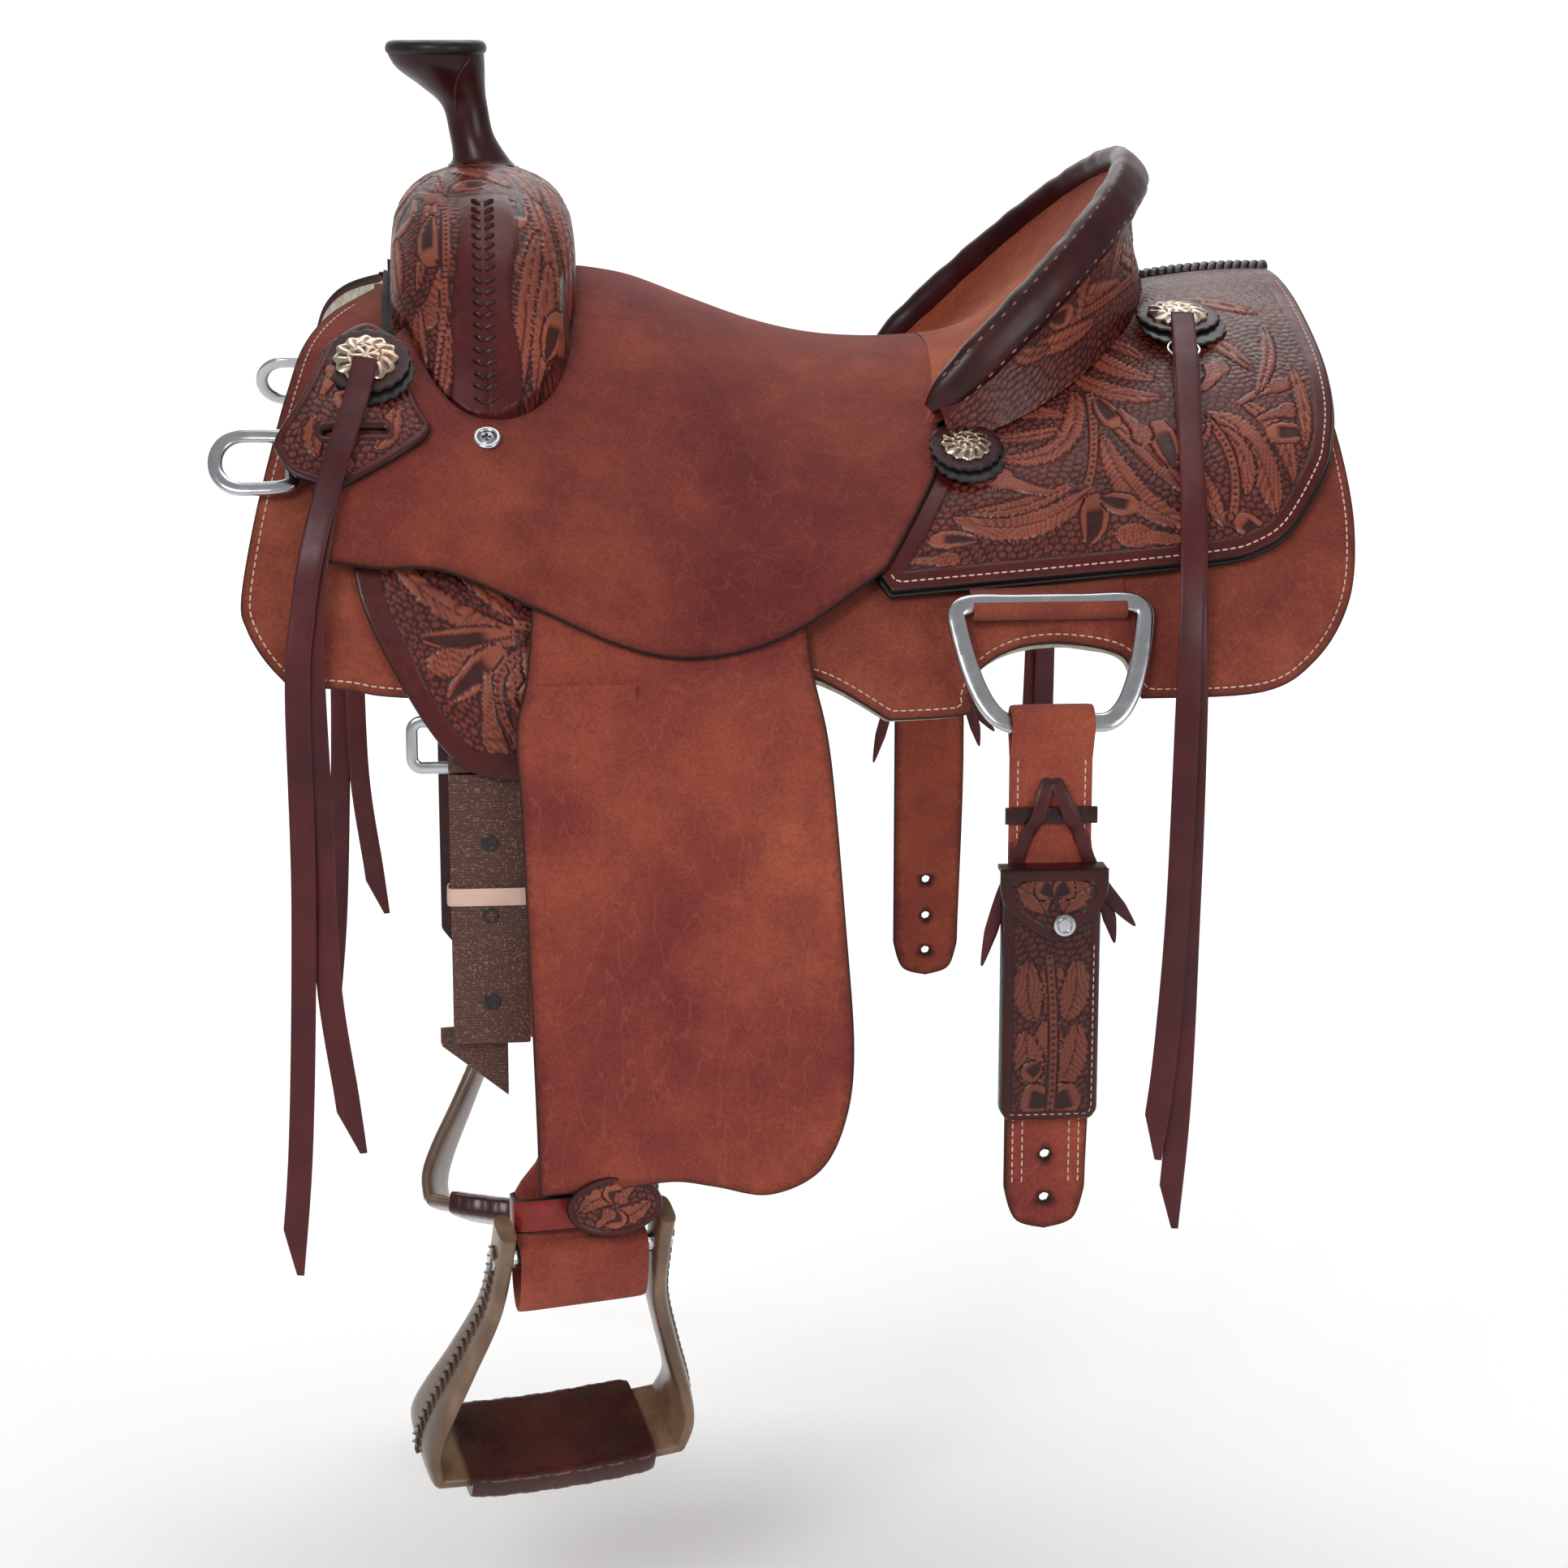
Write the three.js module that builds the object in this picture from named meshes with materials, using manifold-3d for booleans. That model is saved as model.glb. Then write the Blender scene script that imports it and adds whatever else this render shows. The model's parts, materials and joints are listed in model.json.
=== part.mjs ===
// A western saddle on its tree, in millimetres. +X is the rear (cantle), -Y the near side, +Z up.
// The origin is where the middle of the fleece rests on the top of the horse's back.
import * as THREE from "three";
import { mergeVertices } from "three/addons/utils/BufferGeometryUtils.js";
import Module from "manifold-3d";

// ---- Driving dimensions ----
const BACK_HALF_WIDTH = 270; // barrel the skirts lie on: an ellipse across, its top line rising at both ends
const BACK_HALF_HEIGHT = 250;
const BACK_TOP = 16; // underside of the skirts at mid length, one fleece above the back
const WITHER_RISE = 90;
const LOIN_RISE = 50;
const RISE_LENGTH = 320;
const GRID_LENGTH = 50; // the one grid that every layer on the back is made on
const GRID_ANGLE = 10;
const GAP = 0.35; // between touching pieces
const FLEECE = 14;
const SKIRT = 5;
const LEATHER = 4.5;
const BAR_TOP = 17; // height of the tree bars over the skirt underside
const JOCKEY = 24; // outer face of the seat jockey over the skirt underside
const SEAT_LINE = [[-122, 103], [-90, 97], [-48, 81], [-9, 67], [30, 58], [69, 55], [102, 56]];
const RIM_LOW = [95, 29]; // the cantle rim is an ellipse in a tilted plane, from here (x, z)
const RIM_RISE = [146, 138];
const RIM_HALF_WIDTH = 160;
const ROLL_WIDTH = 12;
const ROLL_THICK = 8;
const SWELL_X = -186;
const HORN_CAP = { x: -214, z: 244, radius: 33, thick: 10 };
const BOLT = { x: -138, y: -284, z: -478, radius: 6.5, twist: 16 };
const STIRRUP_TILT = 25;
const REAR_DEE = { x: 153, topY: -253, topZ: -84, lowY: -290, lowZ: -151 };
const BILLET = { x: 149, width: 50, end: -470 };
const KEEP_CLEAR = 0.4;

const wasm = await Module();
wasm.setup();

const COLOURS = {
  roughout: [0x87442f, 0.92, 0],
  skirting: [0x934a2e, 0.9, 0],
  tooled: [0x8a3f2c, 0.45, 0],
  maroon: [0x5c1c1c, 0.35, 0],
  string: [0x551e20, 0.5, 0],
  rawhide: [0x786050, 0.5, 0],
  steel: [0xb9bcc0, 0.25, 1],
  silver: [0xa8937f, 0.35, 1],
  nylon: [0x7a5244, 0.8, 0],
  wood: [0xb08a5a, 0.8, 0],
  fleece: [0xdcd2bd, 1, 0],
  black: [0x1d1b1b, 0.5, 0],
};

const saddle = new THREE.Group();
const left = new THREE.Group();
const right = new THREE.Group();
right.scale.y = -1;
saddle.add(left, right);

// ---- Helpers ----
function bare(geometry) {
  const copy = geometry.index ? geometry.toNonIndexed() : geometry.clone();
  copy.deleteAttribute("normal");
  copy.deleteAttribute("uv");
  return mergeVertices(copy, 1e-3);
}

function toSolid(geometry) {
  const g = bare(geometry);
  return new wasm.Manifold(
    new wasm.Mesh({
      numProp: 3,
      vertProperties: new Float32Array(g.attributes.position.array),
      triVerts: new Uint32Array(g.index.array),
    }),
  );
}

function toGeometry(solid) {
  const mesh = solid.getMesh();
  return new THREE.BufferGeometry()
    .setAttribute("position", new THREE.BufferAttribute(new Float32Array(mesh.vertProperties), 3))
    .setIndex(new THREE.BufferAttribute(new Uint32Array(mesh.triVerts), 1));
}

const cut = (geometry, ...tools) =>
  toGeometry(tools.reduce((s, t) => s.subtract(toSolid(t)), toSolid(geometry)));
const keep = (geometry, tool) => toGeometry(toSolid(geometry).intersect(toSolid(tool)));
const join = (first, ...rest) =>
  toGeometry(rest.reduce((s, t) => s.add(toSolid(t)), toSolid(first)));

function put(group, name, geometry, look) {
  const [color, roughness, metalness] = COLOURS[look];
  const mesh = new THREE.Mesh(
    geometry,
    new THREE.MeshStandardMaterial({ color, roughness, metalness }),
  );
  geometry.computeVertexNormals();
  mesh.name = name;
  group.add(mesh);
  return mesh;
}

function pair(name, geometry, look) {
  put(left, name + "_left", geometry, look);
  put(right, name + "_right", geometry.clone(), look);
}

const smooth = (t) => {
  const c = Math.min(Math.max(t, 0), 1);
  return c * c * (3 - 2 * c);
};
const mix = (a, b, t) => a + (b - a) * t;
const rad = THREE.MathUtils.degToRad;

function topLine(x) {
  return BACK_TOP + (x < 0 ? WITHER_RISE : LOIN_RISE) * smooth(Math.abs(x) / RISE_LENGTH);
}

// A point above the back: angle runs from the spine down the near side, lift is the height over it.
function overBack(x, angle, lift) {
  const centre = topLine(x) - BACK_HALF_HEIGHT;
  return new THREE.Vector3(
    x,
    -(BACK_HALF_WIDTH + lift) * Math.sin(angle),
    centre + (BACK_HALF_HEIGHT + lift) * Math.cos(angle),
  );
}

// Signed volume: below zero when the faces point inwards, and turned() puts that right.
function volumeOf(geometry) {
  const p = geometry.attributes.position;
  const i = geometry.index.array;
  const [a, b, c] = [new THREE.Vector3(), new THREE.Vector3(), new THREE.Vector3()];
  let sum = 0;
  for (let k = 0; k < i.length; k += 3) {
    a.fromBufferAttribute(p, i[k]);
    b.fromBufferAttribute(p, i[k + 1]);
    c.fromBufferAttribute(p, i[k + 2]);
    sum += a.dot(b.cross(c));
  }
  return sum;
}
function turned(geometry) {
  if (volumeOf(geometry) > 0) return geometry;
  const index = geometry.index.array;
  for (let i = 0; i < index.length; i += 3) [index[i], index[i + 1]] = [index[i + 1], index[i]];
  return geometry;
}

// A closed solid between two grids of points, given as rows of equal length.
function between(outer, inner) {
  const rows = outer.length;
  const cols = outer[0].length;
  const points = [...outer.flat(), ...inner.flat()];
  const at = (side, r, c) => side * rows * cols + r * cols + c;
  const faces = [];
  const quad = (a, b, c, d) => faces.push(a, b, c, a, c, d);
  for (let r = 0; r + 1 < rows; r++) {
    for (let c = 0; c + 1 < cols; c++) {
      quad(at(0, r, c), at(0, r + 1, c), at(0, r + 1, c + 1), at(0, r, c + 1));
      quad(at(1, r, c), at(1, r, c + 1), at(1, r + 1, c + 1), at(1, r + 1, c));
    }
  }
  for (let r = 0; r + 1 < rows; r++) {
    quad(at(0, r + 1, 0), at(0, r, 0), at(1, r, 0), at(1, r + 1, 0));
    quad(at(0, r, cols - 1), at(0, r + 1, cols - 1), at(1, r + 1, cols - 1), at(1, r, cols - 1));
  }
  for (let c = 0; c + 1 < cols; c++) {
    quad(at(0, 0, c), at(0, 0, c + 1), at(1, 0, c + 1), at(1, 0, c));
    quad(at(0, rows - 1, c + 1), at(0, rows - 1, c), at(1, rows - 1, c), at(1, rows - 1, c + 1));
  }
  const flat = new Float32Array(points.flatMap((p) => [p.x, p.y, p.z]));
  const g = new THREE.BufferGeometry().setAttribute("position", new THREE.BufferAttribute(flat, 3));
  g.setIndex(faces);
  return turned(bare(g));
}

// A solid lying on the back between two lifts. Every layer shares one grid, so that layers stay clear.
function layer({ from, to, top, bottom, under, over }) {
  const outer = [];
  const inner = [];
  for (let i = from; i <= to; i++) {
    const x = i * GRID_LENGTH;
    const upper = [];
    const lower = [];
    for (let j = top; j <= bottom; j++) {
      const angle = rad(j * GRID_ANGLE);
      upper.push(overBack(x, angle, over(x, angle)));
      lower.push(overBack(x, angle, under(x, angle)));
    }
    outer.push(upper);
    inner.push(lower);
  }
  return between(outer, inner);
}

// An outline seen from the side: a list of smooth runs of [x, z] that join at corners.
function outline(runs) {
  const points = [];
  for (const run of runs) {
    const knots = run.map(([x, z]) => new THREE.Vector2(x, z));
    const made = knots.length > 2 ? new THREE.SplineCurve(knots).getPoints(knots.length - 1) : knots;
    for (const p of made) {
      const last = points[points.length - 1];
      if (!last || last.distanceTo(p) > 0.5) points.push(p);
    }
  }
  if (points[0].distanceTo(points[points.length - 1]) < 0.5) points.pop();
  return new THREE.Shape(points);
}

// A side-view shape cut through from y = near to y = far.
function prism(shape, near, far) {
  const g = new THREE.ExtrudeGeometry(shape, { depth: far - near, bevelEnabled: false, curveSegments: 8 });
  return g.rotateX(Math.PI / 2).translate(0, far, 0);
}

const boxAt = (x0, x1, y0, y1, z0, z1) =>
  new THREE.BoxGeometry(x1 - x0, y1 - y0, z1 - z0).translate((x0 + x1) / 2, (y0 + y1) / 2, (z0 + z1) / 2);

// A tube of an even section along a list of points.
function tube(points, section, steps, closed = false) {
  const path = new THREE.CatmullRomCurve3(points, closed);
  return bare(new THREE.ExtrudeGeometry(section, { steps, extrudePath: path, bevelEnabled: false }));
}

function roundSection(a, b, sides) {
  const points = [];
  for (let i = 0; i < sides; i++) {
    const t = ((i + 0.5) * 2 * Math.PI) / sides;
    points.push(new THREE.Vector2(a * Math.cos(t), b * Math.sin(t)));
  }
  return new THREE.Shape(points);
}

// ---- Skirts, fleece and rigging, which lie on the back ----
const skirtShape = outline([
  [[-256, 95], [-281, 84], [-297, 68], [-306, 44], [-314, 16], [-325, -28], [-333, -73], [-330, -90],
    [-320, -108], [-306, -124]],
  [[-306, -124], [-270, -127], [-239, -132], [-120, -138], [-40, -128], [8, -128], [54, -153]],
  [[54, -153], [101, -150], [103, -139]],
  [[103, -139], [113, -122], [136, -111], [166, -109], [197, -116], [203, -133]],
  [[203, -133], [208, -141]],
  [[208, -141], [282, -138], [316, -119], [338, -86], [346, -46], [346, -2], [342, 40], [332, 78]],
  [[332, 78], [300, 110], [0, 110], [-256, 110]],
]);
const skirtSpan = { from: -7, to: 7, top: 1, bottom: 9 };
const skirtPrism = prism(skirtShape, -320, -58);
pair(
  "skirt",
  keep(layer({ ...skirtSpan, under: () => 0, over: () => SKIRT }), skirtPrism),
  "skirting",
);
pair(
  "fleece",
  keep(layer({ ...skirtSpan, under: () => -FLEECE, over: () => -GAP }), skirtPrism),
  "fleece",
);
const riggingShape = outline([
  [[-268, -30], [-262, -75], [-236, -130], [-212, -166], [-190, -180], [-150, -182], [-110, -172],
  [-70, -140],
    [-40, -100], [-30, -60]],
  [[-30, -60], [-268, -30]],
]);
const PLATE_UNDER = SKIRT + 0.9;
const riggingLayer = layer({
  from: -6, to: 0, top: 4, bottom: 11,
  under: () => PLATE_UNDER, over: () => PLATE_UNDER + LEATHER,
});
pair("rigging_plate", keep(riggingLayer, prism(riggingShape, -320, -20)), "tooled");

// ---- Tree: bars, fork, cantle, horn post ----
const barEnd = (x) => smooth((x + 280) / 50) * smooth((280 - x) / 50);
pair(
  "tree_bar",
  layer({
    from: -5, to: 5, top: 1, bottom: 4,
    under: () => SKIRT + GAP,
    over: (x) => mix(SKIRT + 4, BAR_TOP, barEnd(x)),
  }),
  "wood",
);

// Fork and its cover: a beam arched over the withers, its side view narrowing to the points.
const ARCH = [[0, 170], [-50, 168], [-95, 155], [-132, 130], [-160, 95], [-182, 62], [-201, 27], [-208, 12]];
const archCurve = new THREE.SplineCurve(
  [...ARCH.map(([y, z]) => [-y, z]).reverse(), ...ARCH.slice(1)].map(([y, z]) => new THREE.Vector2(y, z)),
);
function swellGrid(shrink, sink, stations, across) {
  const rows = [];
  for (let i = 0; i <= stations; i++) {
    const t = i / stations;
    const p = archCurve.getPoint(t);
    const tangent = archCurve.getTangent(t);
    const outward = new THREE.Vector2(-tangent.y, tangent.x).multiplyScalar(-1);
    const away = Math.abs(2 * t - 1);
    const half = mix(59, 20, smooth((away - 0.55) / 0.5)) - shrink;
    const deep = mix(52, 12, smooth((away - 0.35) / 0.65));
    const line = [];
    for (let j = 0; j <= across; j++) {
      const v = mix(-1, 1, j / across) * (Math.PI / 2);
      const drop = shrink + sink + deep * (1 - Math.pow(Math.cos(v), 0.75));
      const at = p.clone().addScaledVector(outward, -drop);
      line.push(new THREE.Vector3(SWELL_X + half * Math.sin(v), at.x, at.y));
    }
    rows.push(line);
  }
  return rows;
}
const STATIONS = 16;
const swellOuter = swellGrid(0, 0, STATIONS, 6);
const swellInner = swellGrid(LEATHER, 0, STATIONS, 6);
const forkTop = swellGrid(LEATHER + KEEP_CLEAR, 0, STATIONS, 6);
function forkBottom() {
  return forkTop.map((line, i) => {
    const t = i / STATIONS;
    const away = Math.abs(2 * t - 1);
    const tangent = archCurve.getTangent(t);
    const outward = new THREE.Vector3(0, tangent.y, -tangent.x);
    const deep = mix(20, 10, away);
    return line.map((p, j) => {
      const edge = Math.sin((Math.PI * j) / (line.length - 1));
      return p.clone().addScaledVector(outward, -deep * (0.4 + 0.6 * edge));
    });
  });
}
const underLayer = (lift) =>
  layer({
    from: -7, to: 7, top: -11, bottom: 11,
    under: () => -60, over: lift,
  });
const cutoutRun = [[-128, 104], [-131, 78], [-141, 52], [-160, 34], [-188, 27], [-207, 36],
  [-222, 55], [-234, 80]];
const windowShape = outline([
  cutoutRun.map(([x, z]) => [x, z + 0.8]),
  [[-234, 81], [-262, 100]],
  [[-262, 100], [-262, 190], [-117, 190], [-117, 105], [-128, 105]],
]);
const windowPrism = prism(windowShape, -320, 320);
const postSocket = new THREE.CylinderGeometry(9, 9, 60, 12).rotateX(Math.PI / 2).translate(-187, 0, 170);
put(
  saddle,
  "swell_cover",
  cut(keep(between(swellOuter, swellInner), windowPrism), postSocket, underLayer(() => JOCKEY - 4)),
  "tooled",
);
put(
  saddle,
  "tree_fork",
  cut(keep(between(forkTop, forkBottom()), windowPrism), underLayer(() => BAR_TOP + 1), postSocket),
  "wood",
);

// Horn: a post through the fork's top, a wrapped cover and a flat cap.
const NECK = [[171, -186, 19.5], [176, -187, 17], [189, -192, 14], [207, -196, 14.6], [219, -203, 20.5],
  [231, -211, 28.5], [HORN_CAP.z - HORN_CAP.thick / 2 - GAP, -214, 31]];
function neckGrid(inset, sides) {
  return NECK.map(([z, x, r]) => {
    const ring = [];
    for (let i = 0; i <= sides; i++) {
      const a = (-i * 2 * Math.PI) / sides;
      ring.push(new THREE.Vector3(x + (r - inset) * Math.cos(a), (r - inset) * Math.sin(a), z));
    }
    return ring;
  });
}
put(saddle, "horn_cover", between(neckGrid(0, 12), neckGrid(5, 12)), "maroon");
function postSolid() {
  const points = [[150, -187], [172, -187], [189, -192], [207, -196], [219, -203], [234, -212]];
  return tube(points.map(([z, x]) => new THREE.Vector3(x, 0, z)), roundSection(8, 8, 10), 8);
}
put(saddle, "horn_post", postSolid(), "steel");
const capHalf = HORN_CAP.thick / 2;
const capProfile = [[0, -capHalf], [HORN_CAP.radius - 3, -capHalf], [HORN_CAP.radius, -capHalf + 3],
  [HORN_CAP.radius, capHalf - 3], [HORN_CAP.radius - 3, capHalf], [0, capHalf]];
put(
  saddle,
  "horn_cap",
  bare(
    new THREE.LatheGeometry(capProfile.map(([r, z]) => new THREE.Vector2(r, z)), 24)
      .rotateX(Math.PI / 2)
      .translate(HORN_CAP.x, 0, HORN_CAP.z),
  ),
  "black",
);

// ---- Seat, ground seat and cantle ----
const seatCurve = new THREE.SplineCurve(SEAT_LINE.map(([x, z]) => new THREE.Vector2(x, z)));
function seatHeight(x) {
  const first = SEAT_LINE[0][0];
  const last = SEAT_LINE[SEAT_LINE.length - 1][0];
  const c = Math.min(Math.max(x, first), last);
  let low = 0;
  let high = 1;
  for (let i = 0; i < 24; i++) {
    const mid = (low + high) / 2;
    if (seatCurve.getPoint(mid).x < c) low = mid;
    else high = mid;
  }
  return seatCurve.getPoint(low).y;
}
const seatLift = (x, angle) => {
  const middle = Math.max(seatHeight(x) - topLine(x), JOCKEY - 2);
  const side = Math.cos(Math.min(Math.abs(angle) / rad(50), 1) * (Math.PI / 2)) ** 2;
  return mix(JOCKEY, middle, side);
};
const seatSpan = { from: -6, to: 3, top: -9, bottom: 9 };
const seatShape = outline([
  cutoutRun,
  [[-234, 80], [-244, 72], [-262, 66], [-286, 61]],
  [[-286, 61], [-292, 41], [-291, 0], [-284, -49]],
  [[-284, -49], [-250, -54], [-212, -57], [-159, -80], [-114, -101], [-78, -111], [-40, -110],
  [-1, -98], [49, -68],
    [61, -56], [82, -26], [96, -4]],
  [[96, -4], [98, 20], [106, 60]],
  [[106, 60], [106, 140], [-122, 140], [-128, 104]],
]);
const seatShell = keep(
  layer({ ...seatSpan, under: (x, a) => seatLift(x, a) - LEATHER, over: seatLift }),
  prism(seatShape, -330, 330),
);

const rim = (angle) => {
  const c = Math.cos(angle);
  return new THREE.Vector3(
    RIM_LOW[0] + RIM_RISE[0] * c,
    RIM_HALF_WIDTH * Math.sin(angle),
    RIM_LOW[1] + RIM_RISE[1] * c,
  );
};
const bend = (a, b, c, t) =>
  a.clone().multiplyScalar((1 - t) ** 2).addScaledVector(b, 2 * t * (1 - t)).addScaledVector(c, t * t);
// The dish: from the rim, down and forward in a hollow curve to the seat.
function dishGrid(drop, turns, steps, widest = 90, reach = 1) {
  const rows = [];
  for (let i = 0; i <= turns; i++) {
    const angle = mix(-rad(widest), rad(widest), i / turns);
    const c = Math.cos(angle);
    const outward = new THREE.Vector3(c, Math.sin(angle), 0);
    const top = rim(angle).addScaledVector(outward, -6);
    const seatX = mix(84, 104, c);
    const y = 150 * Math.sin(angle);
    const seatAngle = Math.asin(y / (BACK_HALF_WIDTH + JOCKEY));
    const foot = overBack(seatX, -seatAngle, seatLift(seatX, seatAngle));
    const corner = new THREE.Vector3(top.x - 55 * c, top.y * 0.93, mix(top.z, foot.z, 0.9));
    const line = [];
    for (let j = 0; j <= steps; j++) {
      const t = (reach * j) / steps;
      const p = bend(top, corner, foot, t);
      p.addScaledVector(outward, 0.75 * drop * (1 - t));
      line.push(p.setZ(p.z - drop * (0.66 + 0.34 * t)));
    }
    rows.push(line);
  }
  return rows;
}
function rollGrid(a, b) {
  const rows = [];
  const turns = 20;
  const sides = 8;
  for (let i = 0; i <= turns; i++) {
    const angle = mix(-rad(92), rad(92), i / turns);
    const p = rim(angle);
    const along = rim(angle + 0.01).sub(rim(angle - 0.01)).normalize();
    const spread = new THREE.Vector3(-0.69, 0, 0.725).cross(along).cross(along).negate().normalize();
    const flat = along.clone().cross(spread);
    const end = Math.sqrt(Math.max(1 - Math.abs(angle / rad(92)) ** 16, 0.08));
    const ring = [];
    for (let j = 0; j <= sides; j++) {
      const t = (j * 2 * Math.PI) / sides;
      ring.push(
        p.clone()
          .addScaledVector(spread, a * end * Math.cos(t))
          .addScaledVector(flat, b * end * Math.sin(t)),
      );
    }
    rows.push(ring);
  }
  return rows;
}
// A solid from rings of points, its two ends closed flat.
function lofted(rings) {
  const cols = rings[0].length - 1;
  const points = rings.flatMap((ring) => ring.slice(0, cols));
  const faces = [];
  for (let r = 0; r + 1 < rings.length; r++) {
    for (let c = 0; c < cols; c++) {
      const d = (c + 1) % cols;
      faces.push(r * cols + c, (r + 1) * cols + c, (r + 1) * cols + d);
      faces.push(r * cols + c, (r + 1) * cols + d, r * cols + d);
    }
  }
  const last = (rings.length - 1) * cols;
  for (let c = 1; c + 1 < cols; c++) {
    faces.push(0, c, c + 1);
    faces.push(last, last + c + 1, last + c);
  }
  const flat = new Float32Array(points.flatMap((p) => [p.x, p.y, p.z]));
  const g = new THREE.BufferGeometry().setAttribute("position", new THREE.BufferAttribute(flat, 3));
  g.setIndex(faces);
  return turned(bare(g));
}
const roll = lofted(rollGrid(ROLL_WIDTH, ROLL_THICK));
const rollSpace = lofted(rollGrid(ROLL_WIDTH + KEEP_CLEAR, ROLL_THICK + KEEP_CLEAR));
put(saddle, "cantle_binding", roll, "maroon");
const dish = between(dishGrid(0, 12, 5), dishGrid(LEATHER, 12, 5));
put(saddle, "seat_leather", cut(join(seatShell, dish), rollSpace), "roughout");

const groundSpan = { from: -2, to: 1, top: -3, bottom: 3 };
put(
  saddle,
  "ground_seat",
  layer({ ...groundSpan, under: () => BAR_TOP + 1.5, over: (x, a) => seatLift(x, a) - LEATHER - GAP }),
  "skirting",
);

// Back of the cantle: from under the roll down to the top of the rear jockeys.
const backLift = (angle) => 22 + 12 * Math.cos(Math.min(Math.abs(angle) / rad(30), 1) * (Math.PI / 2)) ** 2;
function cantleBackGrid(inset, turns, steps, widest) {
  const rows = [];
  for (let i = 0; i <= turns; i++) {
    const angle = mix(-rad(widest), rad(widest), i / turns);
    const c = Math.cos(angle);
    const outward = new THREE.Vector3(c, Math.sin(angle), 0);
    const top = rim(angle).addScaledVector(outward, 4);
    const footX = 104 + 146 * c;
    const footY = 166 * Math.sin(angle);
    const footAngle = Math.asin(footY / (BACK_HALF_WIDTH + JOCKEY));
    const foot = overBack(footX, -footAngle, backLift(footAngle) + 2);
    const line = [];
    for (let j = 0; j <= steps; j++) {
      const t = j / steps;
      const hollow = inset + 5 * Math.sin(Math.PI * t) * c;
      line.push(top.clone().lerp(foot, t).addScaledVector(outward, -hollow));
    }
    rows.push(line);
  }
  return rows;
}
put(
  saddle,
  "cantle_back",
  cut(between(cantleBackGrid(0, 14, 3, 77), cantleBackGrid(LEATHER, 14, 3, 77)), rollSpace),
  "tooled",
);
const CORE_WIDEST = 62;
const core = between(
  cantleBackGrid(LEATHER + 1.5, 8, 4, CORE_WIDEST),
  dishGrid(LEATHER + 1.5, 8, 4, CORE_WIDEST, 0.8),
);
put(saddle, "tree_cantle", cut(core, rollSpace, underLayer((x, a) => backLift(a) + 0.6)), "wood");

// Rear jockeys drape over the bars behind the seat and reach down over the rigging.
const jockeyUnder = (x, angle) => {
  const fall = smooth((angle - rad(40)) / rad(16));
  return mix(backLift(angle) - LEATHER - 0.5, 13.5, fall);
};
const rearJockeyShape = outline([
  [[50, -66.5], [62.5, -54.5], [83.5, -25], [98, -2]],
  [[98, -2], [120, 12], [150, 30], [185, 52], [215, 76], [240, 120]],
  [[240, 120], [336, 120], [341, 84], [344, 55], [342, 30], [336, 8], [329, -8], [304, -40],
  [282, -53], [255, -59],
    [156, -69], [58, -78]],
  [[58, -78], [50, -66.5]],
]);
pair(
  "rear_jockey",
  keep(
    layer({
      from: 1, to: 7, top: 0, bottom: 8,
      under: jockeyUnder, over: (x, a) => jockeyUnder(x, a) + LEATHER,
    }),
    prism(rearJockeyShape, -320, -0.6),
  ),
  "tooled",
);

// A frame on the near side of the back: X along the saddle, Y up the slope, Z straight out.
function frameAt(x, z, lift) {
  const centre = topLine(x) - BACK_HALF_HEIGHT;
  const angle = Math.acos((z - centre) / (BACK_HALF_HEIGHT + lift));
  const origin = overBack(x, angle, lift);
  const up = overBack(x, angle - 0.01, lift).sub(overBack(x, angle + 0.01, lift)).normalize();
  const along = new THREE.Vector3(1, 0, 0);
  const out = along.clone().cross(up);
  return new THREE.Matrix4().makeBasis(along, up, out).setPosition(origin);
}
const plate = (shape, thick) =>
  new THREE.ExtrudeGeometry(shape, { depth: thick, bevelEnabled: false, curveSegments: 8 });
function rounded(w, h, r) {
  const s = new THREE.Shape();
  s.moveTo(-w / 2 + r, -h / 2).lineTo(w / 2 - r, -h / 2).absarc(w / 2 - r, -h / 2 + r, r, -Math.PI / 2, 0);
  s.lineTo(w / 2, h / 2 - r).absarc(w / 2 - r, h / 2 - r, r, 0, Math.PI / 2);
  s.lineTo(-w / 2 + r, h / 2).absarc(-w / 2 + r, h / 2 - r, r, Math.PI / 2, Math.PI);
  s.lineTo(-w / 2, -h / 2 + r).absarc(-w / 2 + r, -h / 2 + r, r, Math.PI, Math.PI * 1.5);
  return s;
}

// ---- Front: latigo keeper, breast collar dee ----
const KEEPER_UNDER = 25.2;
const keeperShape = outline([
  [[-281, 70], [-296, 42], [-311, 20], [-309, 10], [-299, -1], [-273, -9]],
  [[-273, -9], [-240, 7], [-220, 20], [-226, 33], [-232, 46], [-236, 68]],
  [[-236, 68], [-258, 80], [-281, 70]],
]);
const keeperSlit = frameAt(-264, 22, KEEPER_UNDER);
pair(
  "latigo_keeper",
  cut(
    keep(
      layer({
        from: -7, to: -4, top: 2, bottom: 7,
        under: () => KEEPER_UNDER, over: () => KEEPER_UNDER + LEATHER,
      }),
      prism(keeperShape, -320, -20),
    ),
    new THREE.BoxGeometry(44, 3.6, 40).applyMatrix4(keeperSlit),
  ),
  "tooled",
);
const BREAST_DEE = { x: -297, z: 5, lift: 12.5, thick: 5, width: 9, half: 22.5, reach: 57 };
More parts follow.
